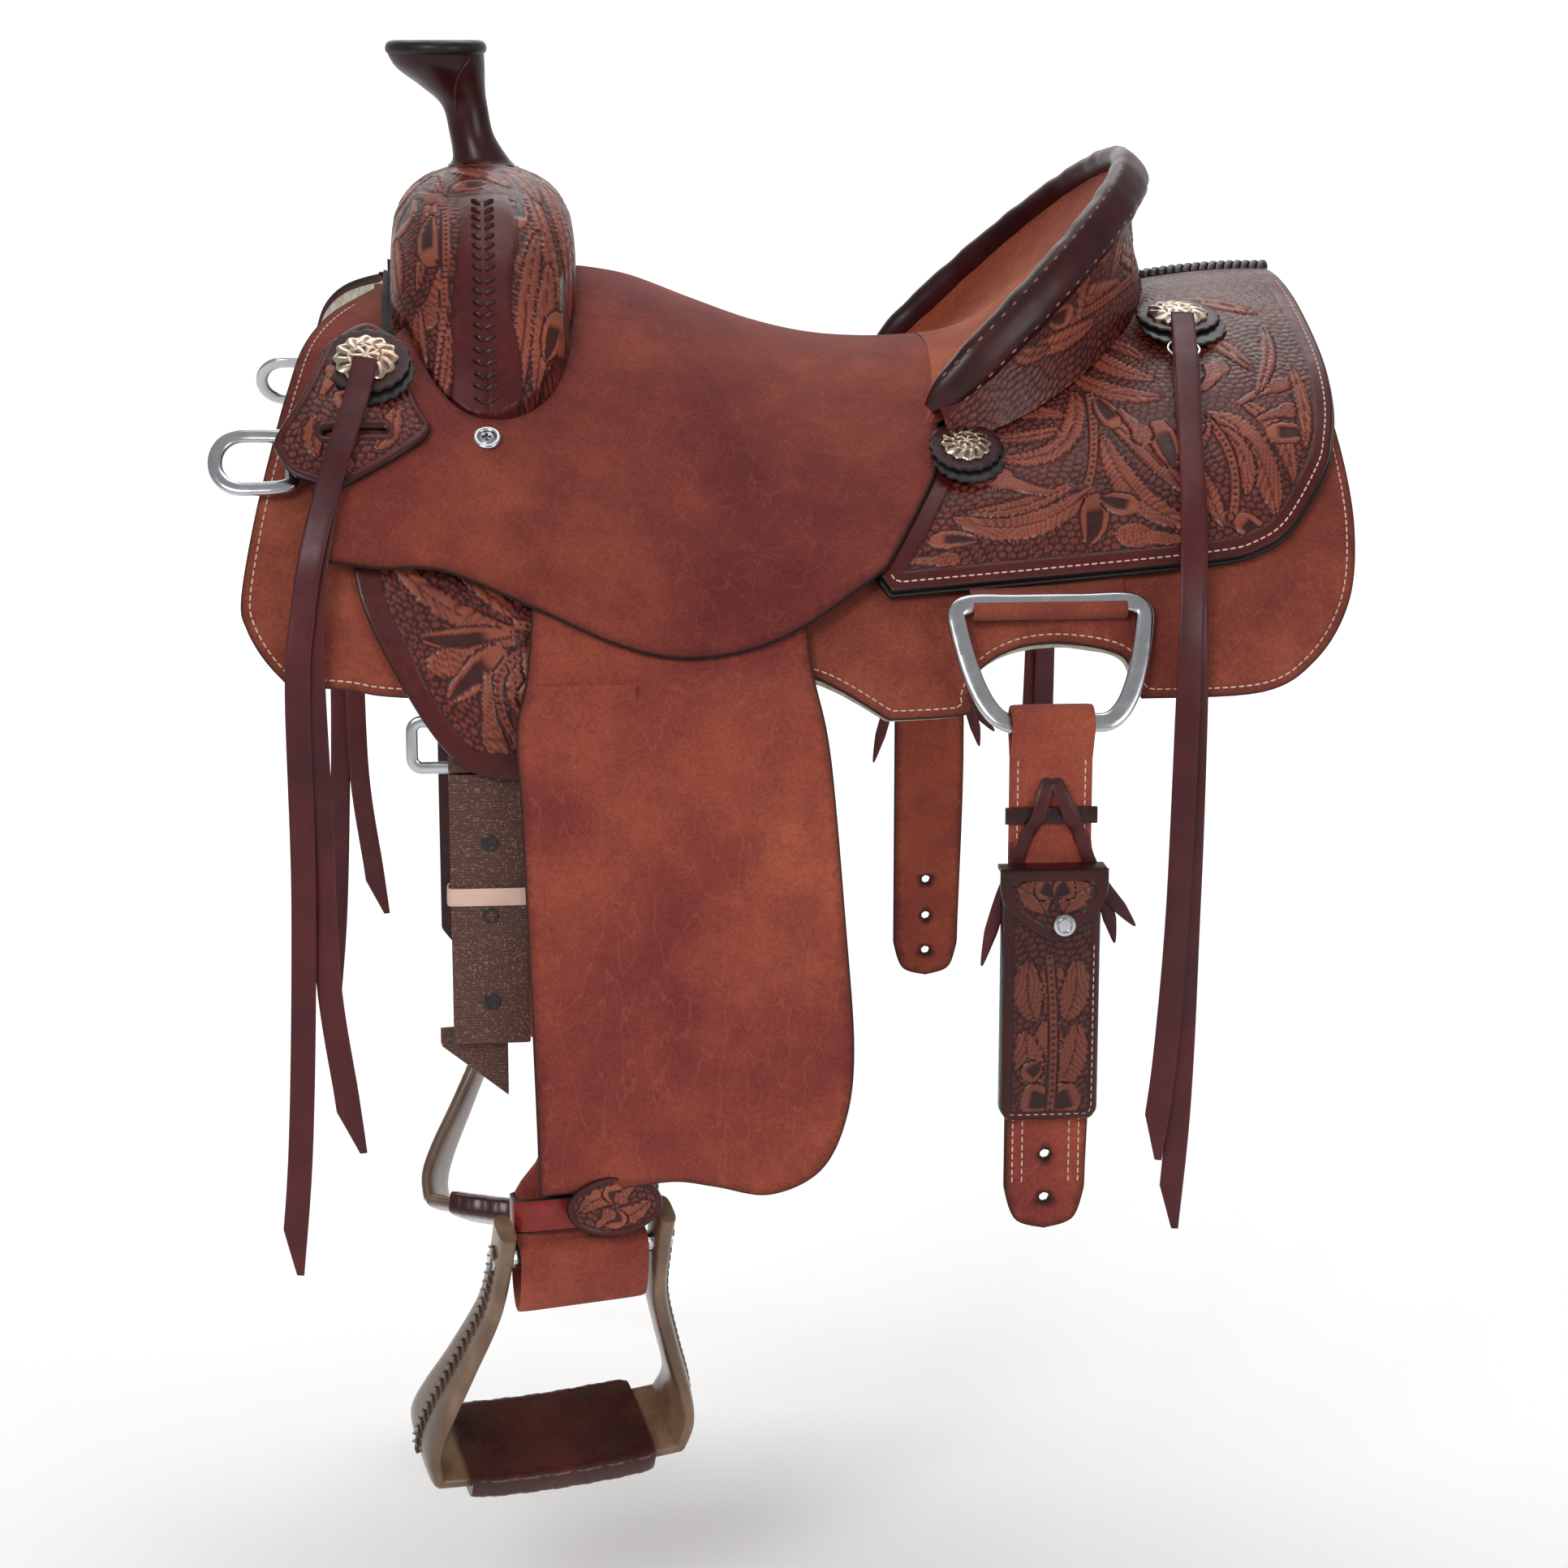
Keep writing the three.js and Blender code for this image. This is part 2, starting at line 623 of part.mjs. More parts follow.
function breastDee() {
  const { half, reach, width } = BREAST_DEE;
  const s = new THREE.Shape();
  const nose = half;
  s.moveTo(0, -half).lineTo(0, half).lineTo(-(reach - nose), half);
  s.absarc(-(reach - nose), 0, nose, Math.PI / 2, Math.PI * 1.5);
  s.closePath();
  const hole = new THREE.Path();
  const inner = half - width;
  hole.moveTo(-width, -inner).lineTo(-(reach - nose), -inner);
  hole.absarc(-(reach - nose), 0, inner, Math.PI * 1.5, Math.PI / 2, true);
  hole.lineTo(-width, inner);
  hole.closePath();
  s.holes.push(hole);
  return plate(s, BREAST_DEE.thick);
}
const breastFrame = frameAt(BREAST_DEE.x, BREAST_DEE.z, BREAST_DEE.lift);
pair("breast_dee", breastDee().applyMatrix4(breastFrame), "steel");

// ---- Conchos ----
function concho(x, z, lift, radius) {
  const profile = [[0, 0], [radius, 0], [radius, 1.5], [radius * 0.7, 3.8], [0, 4.4]];
  return bare(
    new THREE.LatheGeometry(profile.map(([r, h]) => new THREE.Vector2(r, h)), 12)
      .rotateX(Math.PI / 2)
      .applyMatrix4(frameAt(x, z, lift)),
  );
}
pair("front_concho", concho(-258, 62, KEEPER_UNDER + LEATHER + 4, 19), "silver");
pair("rear_concho", concho(259, 77, 30.5, 19), "silver");
pair("seat_concho", concho(111, 4, 29, 15), "silver");

// ---- Rear rigging: dee, flank billet, pouch ----
const deeDrop = Math.hypot(REAR_DEE.lowY - REAR_DEE.topY, REAR_DEE.lowZ - REAR_DEE.topZ);
const deeUp = new THREE.Vector3(0, REAR_DEE.topY - REAR_DEE.lowY, REAR_DEE.topZ - REAR_DEE.lowZ).normalize();
const deeFrame = new THREE.Matrix4()
  .makeBasis(new THREE.Vector3(1, 0, 0), deeUp, new THREE.Vector3(1, 0, 0).cross(deeUp))
  .setPosition(REAR_DEE.x, REAR_DEE.topY, REAR_DEE.topZ);
function rearDee() {
  const topHalf = 64;
  const lowHalf = 27;
  const bar = 12;
  const s = new THREE.Shape();
  const low = -deeDrop - bar / 2;
  s.moveTo(topHalf, 6).lineTo(-topHalf, 6).lineTo(-topHalf, -8);
  s.bezierCurveTo(-topHalf + 6, -40, -lowHalf - 22, low, -lowHalf, low);
  s.lineTo(lowHalf, low);
  s.bezierCurveTo(lowHalf + 22, low, topHalf - 6, -40, topHalf, -8);
  s.closePath();
  const h = new THREE.Path();
  const a = topHalf - bar;
  const b = low + bar;
  h.moveTo(a, -4).lineTo(a, -9);
  h.bezierCurveTo(a - 6, -40, lowHalf + 12, b, lowHalf, b);
  h.lineTo(-lowHalf, b);
  h.bezierCurveTo(-lowHalf - 12, b, -a + 6, -40, -a, -9);
  h.lineTo(-a, -4);
  h.closePath();
  s.holes.push(h);
  return plate(s, 6).translate(0, 0, -3);
}
pair("rear_dee", rearDee().applyMatrix4(deeFrame), "steel");

const loopHole = (r) => {
  const p = new THREE.Path();
  p.absarc(0, 0, r, 0, Math.PI * 2, true);
  return p;
};
// A strap doubled round a bar: its end view is a loop with a tail of the given length.
function loopStrap(width, hole, wall, tail, thick) {
  const s = new THREE.Shape();
  const r = hole + wall;
  const start = Math.asin(thick / 2 / r);
  s.moveTo(-thick / 2, -tail).lineTo(thick / 2, -tail);
  s.absarc(0, 0, r, -Math.PI / 2 + start, Math.PI * 1.5 - start);
  s.closePath();
  s.holes.push(loopHole(hole));
  return new THREE.ExtrudeGeometry(s, { depth: width, bevelEnabled: false, curveSegments: 14 })
    .translate(0, 0, -width / 2)
    .applyMatrix4(new THREE.Matrix4().set(0, 0, 1, 0, 1, 0, 0, 0, 0, 1, 0, 0, 0, 0, 0, 1));
}
const billetTail = REAR_DEE.lowZ - BILLET.end;
const billetShape = outline([
  [[-25, 20], [25, 20], [25, -billetTail + 26]],
  [[25, -billetTail + 26], [18, -billetTail + 6], [0, -billetTail]],
  [[0, -billetTail], [-18, -billetTail + 6], [-25, -billetTail + 26]],
  [[-25, -billetTail + 26], [-25, 20]],
]);
function billet() {
  const strap = keep(loopStrap(BILLET.width, 8.6, 3.4, billetTail, 6.6), prism(billetShape, -40, 40));
  return strap.translate(BILLET.x, REAR_DEE.lowY, REAR_DEE.lowZ);
}
pair("flank_billet", billet(), "roughout");

const POUCH = { x: 149, top: -240, bottom: -396, width: 60, depth: 15 };
const pouchFace = REAR_DEE.lowY - 3.3 - GAP;
const pouchMiddle = (POUCH.top + POUCH.bottom) / 2;
put(
  left,
  "pouch",
  new THREE.ExtrudeGeometry(rounded(POUCH.width - 8, POUCH.top - POUCH.bottom - 8, 4), {
    depth: POUCH.depth - 6, bevelEnabled: true, bevelSize: 4, bevelThickness: 3, bevelSegments: 1,
    curveSegments: 2,
  })
    .rotateX(Math.PI / 2)
    .translate(POUCH.x, pouchFace - 3, pouchMiddle),
  "tooled",
);
const flapShape = outline([
  [[-33, 0], [33, 0]],
  [[33, 0], [32, -14], [24, -27], [9, -38], [0, -42], [-9, -38], [-24, -27], [-32, -14], [-33, 0]],
]);
const flapFace = pouchFace - POUCH.depth - 0.6;
put(
  left,
  "pouch_flap",
  join(
    prism(flapShape, -1.6, 1.6).translate(POUCH.x, flapFace - 1.6, POUCH.top + 1),
    boxAt(POUCH.x - 33, POUCH.x + 33, flapFace - 3.2, pouchFace - 0.5, POUCH.top + 1, POUCH.top + 4),
  ),
  "maroon",
);

// ---- Front rigging: dee behind the plate, latigo and off billet ----
const FRONT_DEE = { x: -195, y: -266.5, middle: -162, bar: 7.5, thick: 4, width: 86, height: 36 };
const hangY = FRONT_DEE.y;
const hangZ = FRONT_DEE.middle - FRONT_DEE.height / 2 + FRONT_DEE.bar / 2;
function frontDee() {
  const { x, y, middle, bar, thick, width, height } = FRONT_DEE;
  const outer = rounded(width, height, 8);
  outer.holes.push(rounded(width - 2 * bar, height - 2 * bar, 4));
  return new THREE.ExtrudeGeometry(outer, { depth: thick, bevelEnabled: false, curveSegments: 3 })
    .rotateX(Math.PI / 2)
    .translate(x, y + thick / 2, middle);
}
pair("front_dee", frontDee(), "steel");
function latigo() {
  const body = loopStrap(47, 5.3, 1.6, 40, 4).translate(-189.5, hangY, hangZ);
  const folds = boxAt(-213, -166, hangY - 6.5, hangY + 6.5, -346, hangZ - 9);
  const tailShape = new THREE.Shape(
    [[-222, -300], [-179, -300], [-179, -346 - 38], [-222, -350]].map(([x, z]) => new THREE.Vector2(x, z)),
  );
  return join(body, folds, prism(tailShape, hangY + 3, hangY + 5.5));
}
put(left, "latigo_left", latigo(), "nylon");
const offTail = 440 + hangZ;
const offShape = outline([
  [[-22, 20], [22, 20]],
  [[22, 20], [22, -offTail + 22]],
  [[22, -offTail + 22], [0, -offTail], [-22, -offTail + 22]],
  [[-22, -offTail + 22], [-22, 20]],
]);
put(
  right,
  "off_billet_right",
  keep(loopStrap(44, 5.3, 3, offTail, 5.4), prism(offShape, -40, 40)).translate(-205, hangY, hangZ),
  "maroon",
);

// ---- Fenders, stirrup leathers, hobble straps ----
// Inner face of the fender, from above (y at a height z).
const FENDER_LINE = [[-118, -281], [-145, -287], [-180, -289.5], [-260, -291], [-360, -294], [-442, -296]];
const fenderY = (z) => {
  const line = FENDER_LINE;
  let k = 0;
  while (k + 2 < line.length && z < line[k + 1][0]) k++;
  const [z0, y0] = line[k];
  const [z1, y1] = line[k + 1];
  return mix(y0, y1, (z - z0) / (z1 - z0));
};
// A hanging sheet: x runs across, z down, on the fender line moved inwards or outwards.
function hanging({ x0, x1, z0, z1, rows, outer, inner, twist = () => 0, about = 0, lead = () => 0 }) {
  const grids = [outer, inner].map((offset) => {
    const grid = [];
    for (let i = 0; i <= rows; i++) {
      const z = mix(z0, z1, i / rows);
      const y = fenderY(z) - offset + lead(z);
      const turn = twist(z);
      const at = (x) => new THREE.Vector3(
        about + (x - about) * Math.cos(turn),
        y + (x - about) * Math.sin(turn),
        z,
      );
      grid.push([at(x0), at(x1)]);
    }
    return grid;
  });
  return between(grids[0], grids[1]);
}
const fenderShape = outline([
  [[-165, -118], [-172, -150], [-170, -200], [-168, -254], [-164, -384], [-163, -438]],
  [[-163, -438], [-110, -434], [-80, -431], [-55, -435], [-22, -441], [9, -427], [25, -395],
  [30, -350], [25, -274],
    [16, -171], [7, -118]],
  [[7, -118], [-165, -118]],
]);
pair(
  "fender",
  keep(
    hanging({ x0: -190, x1: 50, z0: -116, z1: -450, rows: 12, outer: LEATHER, inner: 0 }),
    prism(fenderShape, -330, -200),
  ),
  "roughout",
);
const boltTurn = rad(BOLT.twist);
// The stirrup leather behind the fender, measured from its inner face
const STRIP = { outer: -1.2, inner: -6.4 };
const leatherPath = {
  about: BOLT.x,
  twist: (z) => boltTurn * smooth((-425 - z) / 40),
  lead: (z) => 11 * smooth((-375 - z) / 60),
};
function stirrupLeather() {
  const strip = hanging({
    ...leatherPath, ...STRIP, x0: BOLT.x - 38, x1: BOLT.x + 38, z0: -122, z1: -468, rows: 16,
  });
  const loop = loopStrap(76, BOLT.radius + 1.2, 6, 12, 5)
    .rotateX(Math.PI)
    .rotateZ(boltTurn)
    .translate(BOLT.x, BOLT.y, BOLT.z);
  const hole = new THREE.CylinderGeometry(BOLT.radius + 1.2, BOLT.radius + 1.2, 120, 14)
    .rotateZ(Math.PI / 2)
    .rotateZ(boltTurn)
    .translate(BOLT.x, BOLT.y, BOLT.z);
  return cut(join(strip, loop), hole);
}
pair("stirrup_leather", stirrupLeather(), "roughout");
function hobble() {
  const band = { ...leatherPath, rows: 4 };
  const wrap = hanging({
    ...band, z0: -441, z1: -461, x0: BOLT.x - 42, x1: BOLT.x + 42, outer: STRIP.outer + 6,
    inner: STRIP.inner - 6,
  });
  const inside = hanging({
    ...band, z0: -436, z1: -466, x0: BOLT.x - 39, x1: BOLT.x + 39, outer: STRIP.outer + 2.8,
    inner: STRIP.inner - 2.8, rows: 6,
  });
  return cut(wrap, inside);
}
pair("hobble_strap", hobble(), "maroon");

// ---- Stirrup: bell-shaped arms, wide tread, bolt ----
const stirrupTurn = new THREE.Matrix4()
  .makeTranslation(BOLT.x, BOLT.y, BOLT.z)
  .multiply(new THREE.Matrix4().makeRotationZ(boltTurn))
  .multiply(new THREE.Matrix4().makeRotationX(rad(STIRRUP_TILT)));
const ARM = [[51, 26, 24], [51, 0, 24], [54, -40, 26], [67, -85, 34], [80, -125, 46], [84, -148, 54],
  [80, -166, 58]];
function stirrupArm(side) {
  const thick = 11;
  const rings = ARM.map(([x, z, depth], i) => {
    const before = ARM[Math.max(i - 1, 0)];
    const after = ARM[Math.min(i + 1, ARM.length - 1)];
    const run = new THREE.Vector2(after[0] - before[0], after[1] - before[1]).normalize();
    const out = new THREE.Vector2(-run.y, run.x);
    const ring = [];
    for (let j = 0; j <= 8; j++) {
      const t = ((j + 0.5) * 2 * Math.PI) / 8;
      const a = (thick / 2) * Math.cos(t) * 1.08;
      const b = (depth / 2) * Math.sin(t) * 1.08;
      ring.push(new THREE.Vector3(side * (x + out.x * a), b, z + out.y * a));
    }
    return ring;
  });
  return lofted(rings);
}
function stirrupFrame() {
  const base = [];
  const steps = 8;
  for (let i = 0; i <= steps; i++) {
    const x = mix(-81, 81, i / steps);
    const z = -166 - 5 * Math.cos((x / 81) * (Math.PI / 2));
    const ring = [];
    for (let j = 0; j <= 8; j++) {
      const t = ((j + 0.5) * 2 * Math.PI) / 8;
      ring.push(new THREE.Vector3(x, 29 * 1.08 * Math.sin(t), z + 5.4 * 1.08 * Math.cos(t)));
    }
    base.push(ring);
  }
  const boltRadius = BOLT.radius + 0.4;
  const boltHole = new THREE.CylinderGeometry(boltRadius, boltRadius, 200, 14).rotateZ(Math.PI / 2);
  return cut(join(stirrupArm(1), stirrupArm(-1), lofted(base)), boltHole);
}
pair("stirrup", stirrupFrame().applyMatrix4(stirrupTurn), "rawhide");
function treadSleeve(half, deep, high) {
  const steps = 4;
  const rings = [];
  for (let i = 0; i <= steps; i++) {
    const x = mix(-half, half, i / steps);
    const z = -166 - 5 * Math.cos((x / 81) * (Math.PI / 2));
    const ring = [];
    for (let j = 0; j <= 12; j++) {
      const t = ((j + 0.5) * 2 * Math.PI) / 12;
      const corner = (v) => Math.sign(v) * Math.abs(v) ** 0.6;
      ring.push(new THREE.Vector3(x, deep * corner(Math.sin(t)), z + high * corner(Math.cos(t))));
    }
    rings.push(ring);
  }
  return lofted(rings);
}
const sleeve = cut(treadSleeve(60, 37, 10.5), treadSleeve(70, 33.5, 6.9));
pair("stirrup_tread", sleeve.applyMatrix4(stirrupTurn), "maroon");
const boltBody = new THREE.CylinderGeometry(BOLT.radius, BOLT.radius, 116, 14).rotateZ(Math.PI / 2);
pair(
  "stirrup_bolt",
  boltBody.rotateZ(boltTurn).translate(BOLT.x, BOLT.y, BOLT.z),
  "steel",
);

// ---- Saddle strings: flat thongs that hang from the conchos ----
// A flat thong along a route: its width runs along the saddle, its thickness square to that and to the route.
const THONG = { halfWidth: 7.5, halfThick: 1.2, steps: 11, sides: 8 };
function strand(points) {
  const path = new THREE.CatmullRomCurve3(points.map((p) => new THREE.Vector3(...p)));
  const rings = [];
  for (let i = 0; i <= THONG.steps; i++) {
    const at = path.getPointAt(i / THONG.steps);
    const run = path.getTangentAt(i / THONG.steps);
    const wide = new THREE.Vector3(1, 0, 0).addScaledVector(run, -run.x).normalize();
    const thick = run.clone().cross(wide);
    const ring = [];
    for (let j = 0; j <= THONG.sides; j++) {
      const t = ((j + 0.5) * 2 * Math.PI) / THONG.sides;
      ring.push(
        at.clone()
          .addScaledVector(wide, THONG.halfWidth * Math.cos(t))
          .addScaledVector(thick, THONG.halfThick * Math.sin(t)),
      );
    }
    rings.push(ring);
  }
  return lofted(rings);
}
const STRINGS = {
  front_string_long: [[-262, -222, 46], [-268, -240, 28], [-277, -262, 2], [-289, -281, -40],
    [-296, -286, -80],
    [-300, -290, -125], [-300, -291, -250], [-306, -292, -400], [-314, -293, -485]],
  front_string_short: [[-262, -216, 46], [-268, -234, 28], [-277, -257, 2], [-286, -276, -40],
    [-291, -282, -80],
    [-291, -285, -125], [-289, -286, -198], [-287, -287, -300], [-278, -287, -375], [-274, -287, -411]],
  rear_string_short: [[257, -132, 66], [253, -160, 50], [247, -201, 20], [241, -246, -25], [237, -269, -60],
    [235, -280, -95], [233, -285, -135], [230, -286, -260], [224, -286, -364], [216, -286, -429]],
  rear_string_long: [[257, -122, 66], [253, -152, 50], [247, -196, 20], [243, -241, -25], [240, -263, -60],
    [239, -274, -95], [239, -279, -135], [238, -280, -260], [235, -280, -391], [229, -280, -477]],
};
for (const [name, points] of Object.entries(STRINGS)) pair(name, strand(points), "string");

export default saddle;
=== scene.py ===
"""A western saddle: leather, suede, wool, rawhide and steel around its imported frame.
Lengths are in millimetres and turn into metres where a mesh is made. +X is the rear, -Y the near side.
A shape is drawn in side view (x, z) or laid flat (x, way down from the spine), then put on the back."""
import json
import math
import bpy
import numpy as np
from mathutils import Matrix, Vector
from mathutils.geometry import delaunay_2d_cdt

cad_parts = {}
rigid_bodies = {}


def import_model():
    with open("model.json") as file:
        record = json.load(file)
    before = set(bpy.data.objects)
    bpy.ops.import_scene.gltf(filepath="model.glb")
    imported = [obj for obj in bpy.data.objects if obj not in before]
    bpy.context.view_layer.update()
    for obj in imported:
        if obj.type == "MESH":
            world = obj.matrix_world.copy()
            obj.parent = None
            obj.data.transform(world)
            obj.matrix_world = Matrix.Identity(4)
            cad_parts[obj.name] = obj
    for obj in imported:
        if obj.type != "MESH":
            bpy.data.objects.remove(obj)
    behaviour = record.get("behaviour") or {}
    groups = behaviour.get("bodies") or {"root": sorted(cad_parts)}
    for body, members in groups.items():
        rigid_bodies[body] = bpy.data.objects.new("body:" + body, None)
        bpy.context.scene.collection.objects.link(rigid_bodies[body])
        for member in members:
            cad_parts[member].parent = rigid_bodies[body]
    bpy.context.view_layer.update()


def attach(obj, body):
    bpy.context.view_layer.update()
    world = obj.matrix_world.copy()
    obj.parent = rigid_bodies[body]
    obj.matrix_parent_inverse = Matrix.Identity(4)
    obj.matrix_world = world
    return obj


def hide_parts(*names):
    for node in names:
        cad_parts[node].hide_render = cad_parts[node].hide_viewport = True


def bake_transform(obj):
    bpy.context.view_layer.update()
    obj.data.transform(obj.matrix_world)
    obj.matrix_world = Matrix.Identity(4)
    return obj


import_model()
MM = 0.001
SIDES = {"left": 1, "right": -1}


# ---- Camera, lights, floor ----
def aim(obj, target):
    obj.rotation_euler = (Vector(target) - obj.location).to_track_quat("-Z", "Y").to_euler()


def studio():
    """The camera, four soft lamps, and a pale floor that curves up behind the saddle."""
    scene = bpy.context.scene
    camera = bpy.data.objects.new("camera", bpy.data.cameras.new("camera"))
    scene.collection.objects.link(camera)
    camera.data.lens = 79.19
    camera.data.sensor_width = 36
    camera.location = (-0.18835, -2.300, 0.26598)
    aim(camera, (-0.009, -0.250, -0.194))
    scene.camera = camera
    saddle, backdrop = (0, 0, -0.15), (0, 3.4, -0.3)
    lamps = [
        ("key", (-1.3, -3.0, 1.5), 1.1, 44, saddle),
        ("fill", (2.0, -2.6, 0.7), 1.5, 22, saddle),
        ("top", (0.2, -0.2, 2.6), 1.2, 9, saddle),
        ("wall", (0.0, 2.0, 2.6), 2.6, 85, backdrop),
    ]
    for name, place, size, power, target in lamps:
        lamp = bpy.data.objects.new(name, bpy.data.lights.new(name, "AREA"))
        lamp.data.size = size
        lamp.data.energy = power
        lamp.location = place
        aim(lamp, target)
        scene.collection.objects.link(lamp)
    world = bpy.data.worlds.new("studio")
    world.use_nodes = True
    glow = world.node_tree.nodes["Background"].inputs
    glow["Color"].default_value = (1.0, 1.0, 1.0, 1)
    glow["Strength"].default_value = 0.38
    scene.world = world
    sweep_line = [(-8, -0.8), (2.0, -0.8), (2.8, -0.68), (3.4, -0.3), (3.7, 0.3), (3.8, 1.0), (3.8, 5.0)]
    points = [(x, y, z) for y, z in sweep_line for x in (-9, 9)]
    mesh = bpy.data.meshes.new("floor")
    strips = [(2 * i, 2 * i + 1, 2 * i + 3, 2 * i + 2) for i in range(len(sweep_line) - 1)]
    mesh.from_pydata(points, [], strips)
    mesh.shade_smooth()
    floor = bpy.data.objects.new("floor", mesh)
    scene.collection.objects.link(floor)
    paint = bpy.data.materials.new("pale_paint")
    paint.use_nodes = True
    sockets = paint.node_tree.nodes["Principled BSDF"].inputs
    sockets["Base Color"].default_value = (0.97, 0.97, 0.97, 1)
    sockets["Roughness"].default_value = 0.9
    sockets["Specular IOR Level"].default_value = 0.1
    mesh.materials.append(paint)
    scene.view_settings.view_transform = "Standard"


studio()


# ---- Materials ----
def srgb(*rgb):
    """A colour of 0 to 255 as Blender's linear one."""
    return tuple(((c / 255 + 0.055) / 1.055) ** 2.4 if c > 10 else c / 255 / 12.92 for c in rgb) + (1,)


class Look:
    """A Principled material with short ways to add noise, ramps and bump in object space."""

    def __init__(self, name, rough, metal=0.0, coat=0.0, sheen=0.0, spec=0.5):
        self.material = bpy.data.materials.new(name)
        self.material.use_nodes = True
        self.tree = self.material.node_tree
        self.shader = self.tree.nodes["Principled BSDF"]
        values = {"Roughness": rough, "Metallic": metal, "Coat Weight": coat, "Coat Roughness": 0.16,
                  "Sheen Weight": sheen, "Sheen Roughness": 0.5, "Specular IOR Level": spec}
        for key, value in values.items():
            self.shader.inputs[key].default_value = value
        self.place = self.tree.nodes.new("ShaderNodeTexCoord").outputs["Object"]

    def add(self, kind, **values):
        made = self.tree.nodes.new(kind)
        for key, value in values.items():
            setattr(made, key, value)
        return made

    def put(self, socket, value):
        if hasattr(value, "is_output"):
            self.tree.links.new(value, socket)
        else:
            socket.default_value = value

    def stretched(self, scale):
        made = self.add("ShaderNodeMapping")
        self.put(made.inputs["Vector"], self.place)
        made.inputs["Scale"].default_value = scale
        return made.outputs["Vector"]

    def noise(self, scale, detail=4, rough=0.6, at=None):
        made = self.add("ShaderNodeTexNoise")
        self.put(made.inputs["Vector"], at or self.place)
        made.inputs["Scale"].default_value = scale
        made.inputs["Detail"].default_value = detail
        made.inputs["Roughness"].default_value = rough
        return made.outputs["Fac"]

    def cells(self, scale, at=None):
        made = self.add("ShaderNodeTexVoronoi")
        self.put(made.inputs["Vector"], at or self.place)
        made.inputs["Scale"].default_value = scale
        return made.outputs["Distance"]

    def ramp(self, fac, stops):
        made = self.add("ShaderNodeValToRGB")
        self.put(made.inputs["Fac"], fac)
        ramp = made.color_ramp
        while len(ramp.elements) < len(stops):
            ramp.elements.new(0.5)
        for element, (at, colour) in zip(ramp.elements, stops):
            element.position = at
            element.color = colour
        return made.outputs["Color"]

    def mask(self, fac, low, high, most=1.0):
        """Black below low, and grey up to most above high."""
        return self.ramp(fac, [(low, grey(0)), (high, grey(most))])

    def mix(self, fac, a, b, how="MIX"):
        made = self.add("ShaderNodeMix", data_type="RGBA", blend_type=how)
        self.put(made.inputs[0], fac)
        self.put(made.inputs[6], a)
        self.put(made.inputs[7], b)
        return made.outputs[2]

    def sums(self, how, a, b):
        made = self.add("ShaderNodeMath", operation=how)
        self.put(made.inputs[0], a)
        self.put(made.inputs[1], b)
        return made.outputs[0]

    def attribute(self, name):
        return self.add("ShaderNodeAttribute", attribute_name=name).outputs["Fac"]

    def bump(self, height, strength, distance=0.0006, before=None):
        made = self.add("ShaderNodeBump")
        self.put(made.inputs["Height"], height)
        made.inputs["Strength"].default_value = strength
        made.inputs["Distance"].default_value = distance
        if before is not None:
            self.put(made.inputs["Normal"], before)
        return made.outputs["Normal"]

    def finish(self, colour, normal=None, rough=None):
        self.put(self.shader.inputs["Base Color"], colour)
        if normal is not None:
            self.put(self.shader.inputs["Normal"], normal)
        if rough is not None:
            self.put(self.shader.inputs["Roughness"], rough)
        return self.material


BLACK_EDGE = srgb(24, 20, 20)


def grey(level):
    return (level, level, level, 1)


def suede(name, main, dark, light, wide=7.0):
    """Rough-out leather: mottled colour, short nap, dyed black at the cut edges (attribute edge)."""
    look = Look(name, 0.9, sheen=0.08, spec=0.12)
    cloud = look.noise(wide, 5, 0.6)
    colour = look.ramp(cloud, [(0.34, dark), (0.5, main), (0.68, light)])
    patch = look.noise(wide * 3.3, 4, 0.65)
    colour = look.mix(look.mask(patch, 0.42, 0.66, 0.5), colour, dark)
    nap = look.noise(520, 4, 0.75)
    fuzz = look.ramp(nap, [(0.25, (0.45, 0.4, 0.4, 1)), (0.75, (1.6, 1.55, 1.5, 1))])
    colour = look.mix(0.55, colour, fuzz, "MULTIPLY")
    scar = look.ramp(look.noise(38, 3, 0.45, look.stretched((1.5, 1.5, 0.5))),
                     [(0.485, grey(0)), (0.5, grey(0.35)), (0.515, grey(0))])
    colour = look.mix(scar, colour, light)
    colour = look.mix(look.attribute("edge"), colour, BLACK_EDGE)
    crack = look.noise(1.0, 6, 0.7, look.stretched((22, 60, 75)))
    crack = look.ramp(crack, [(0.47, grey(1)), (0.5, grey(0)), (0.53, grey(1))])
    normal = look.bump(nap, 0.6, 0.0005)
    normal = look.bump(look.noise(60, 3), 0.25, 0.0015, normal)
    normal = look.bump(crack, 0.3, 0.0006, normal)
    return look.finish(colour, normal)


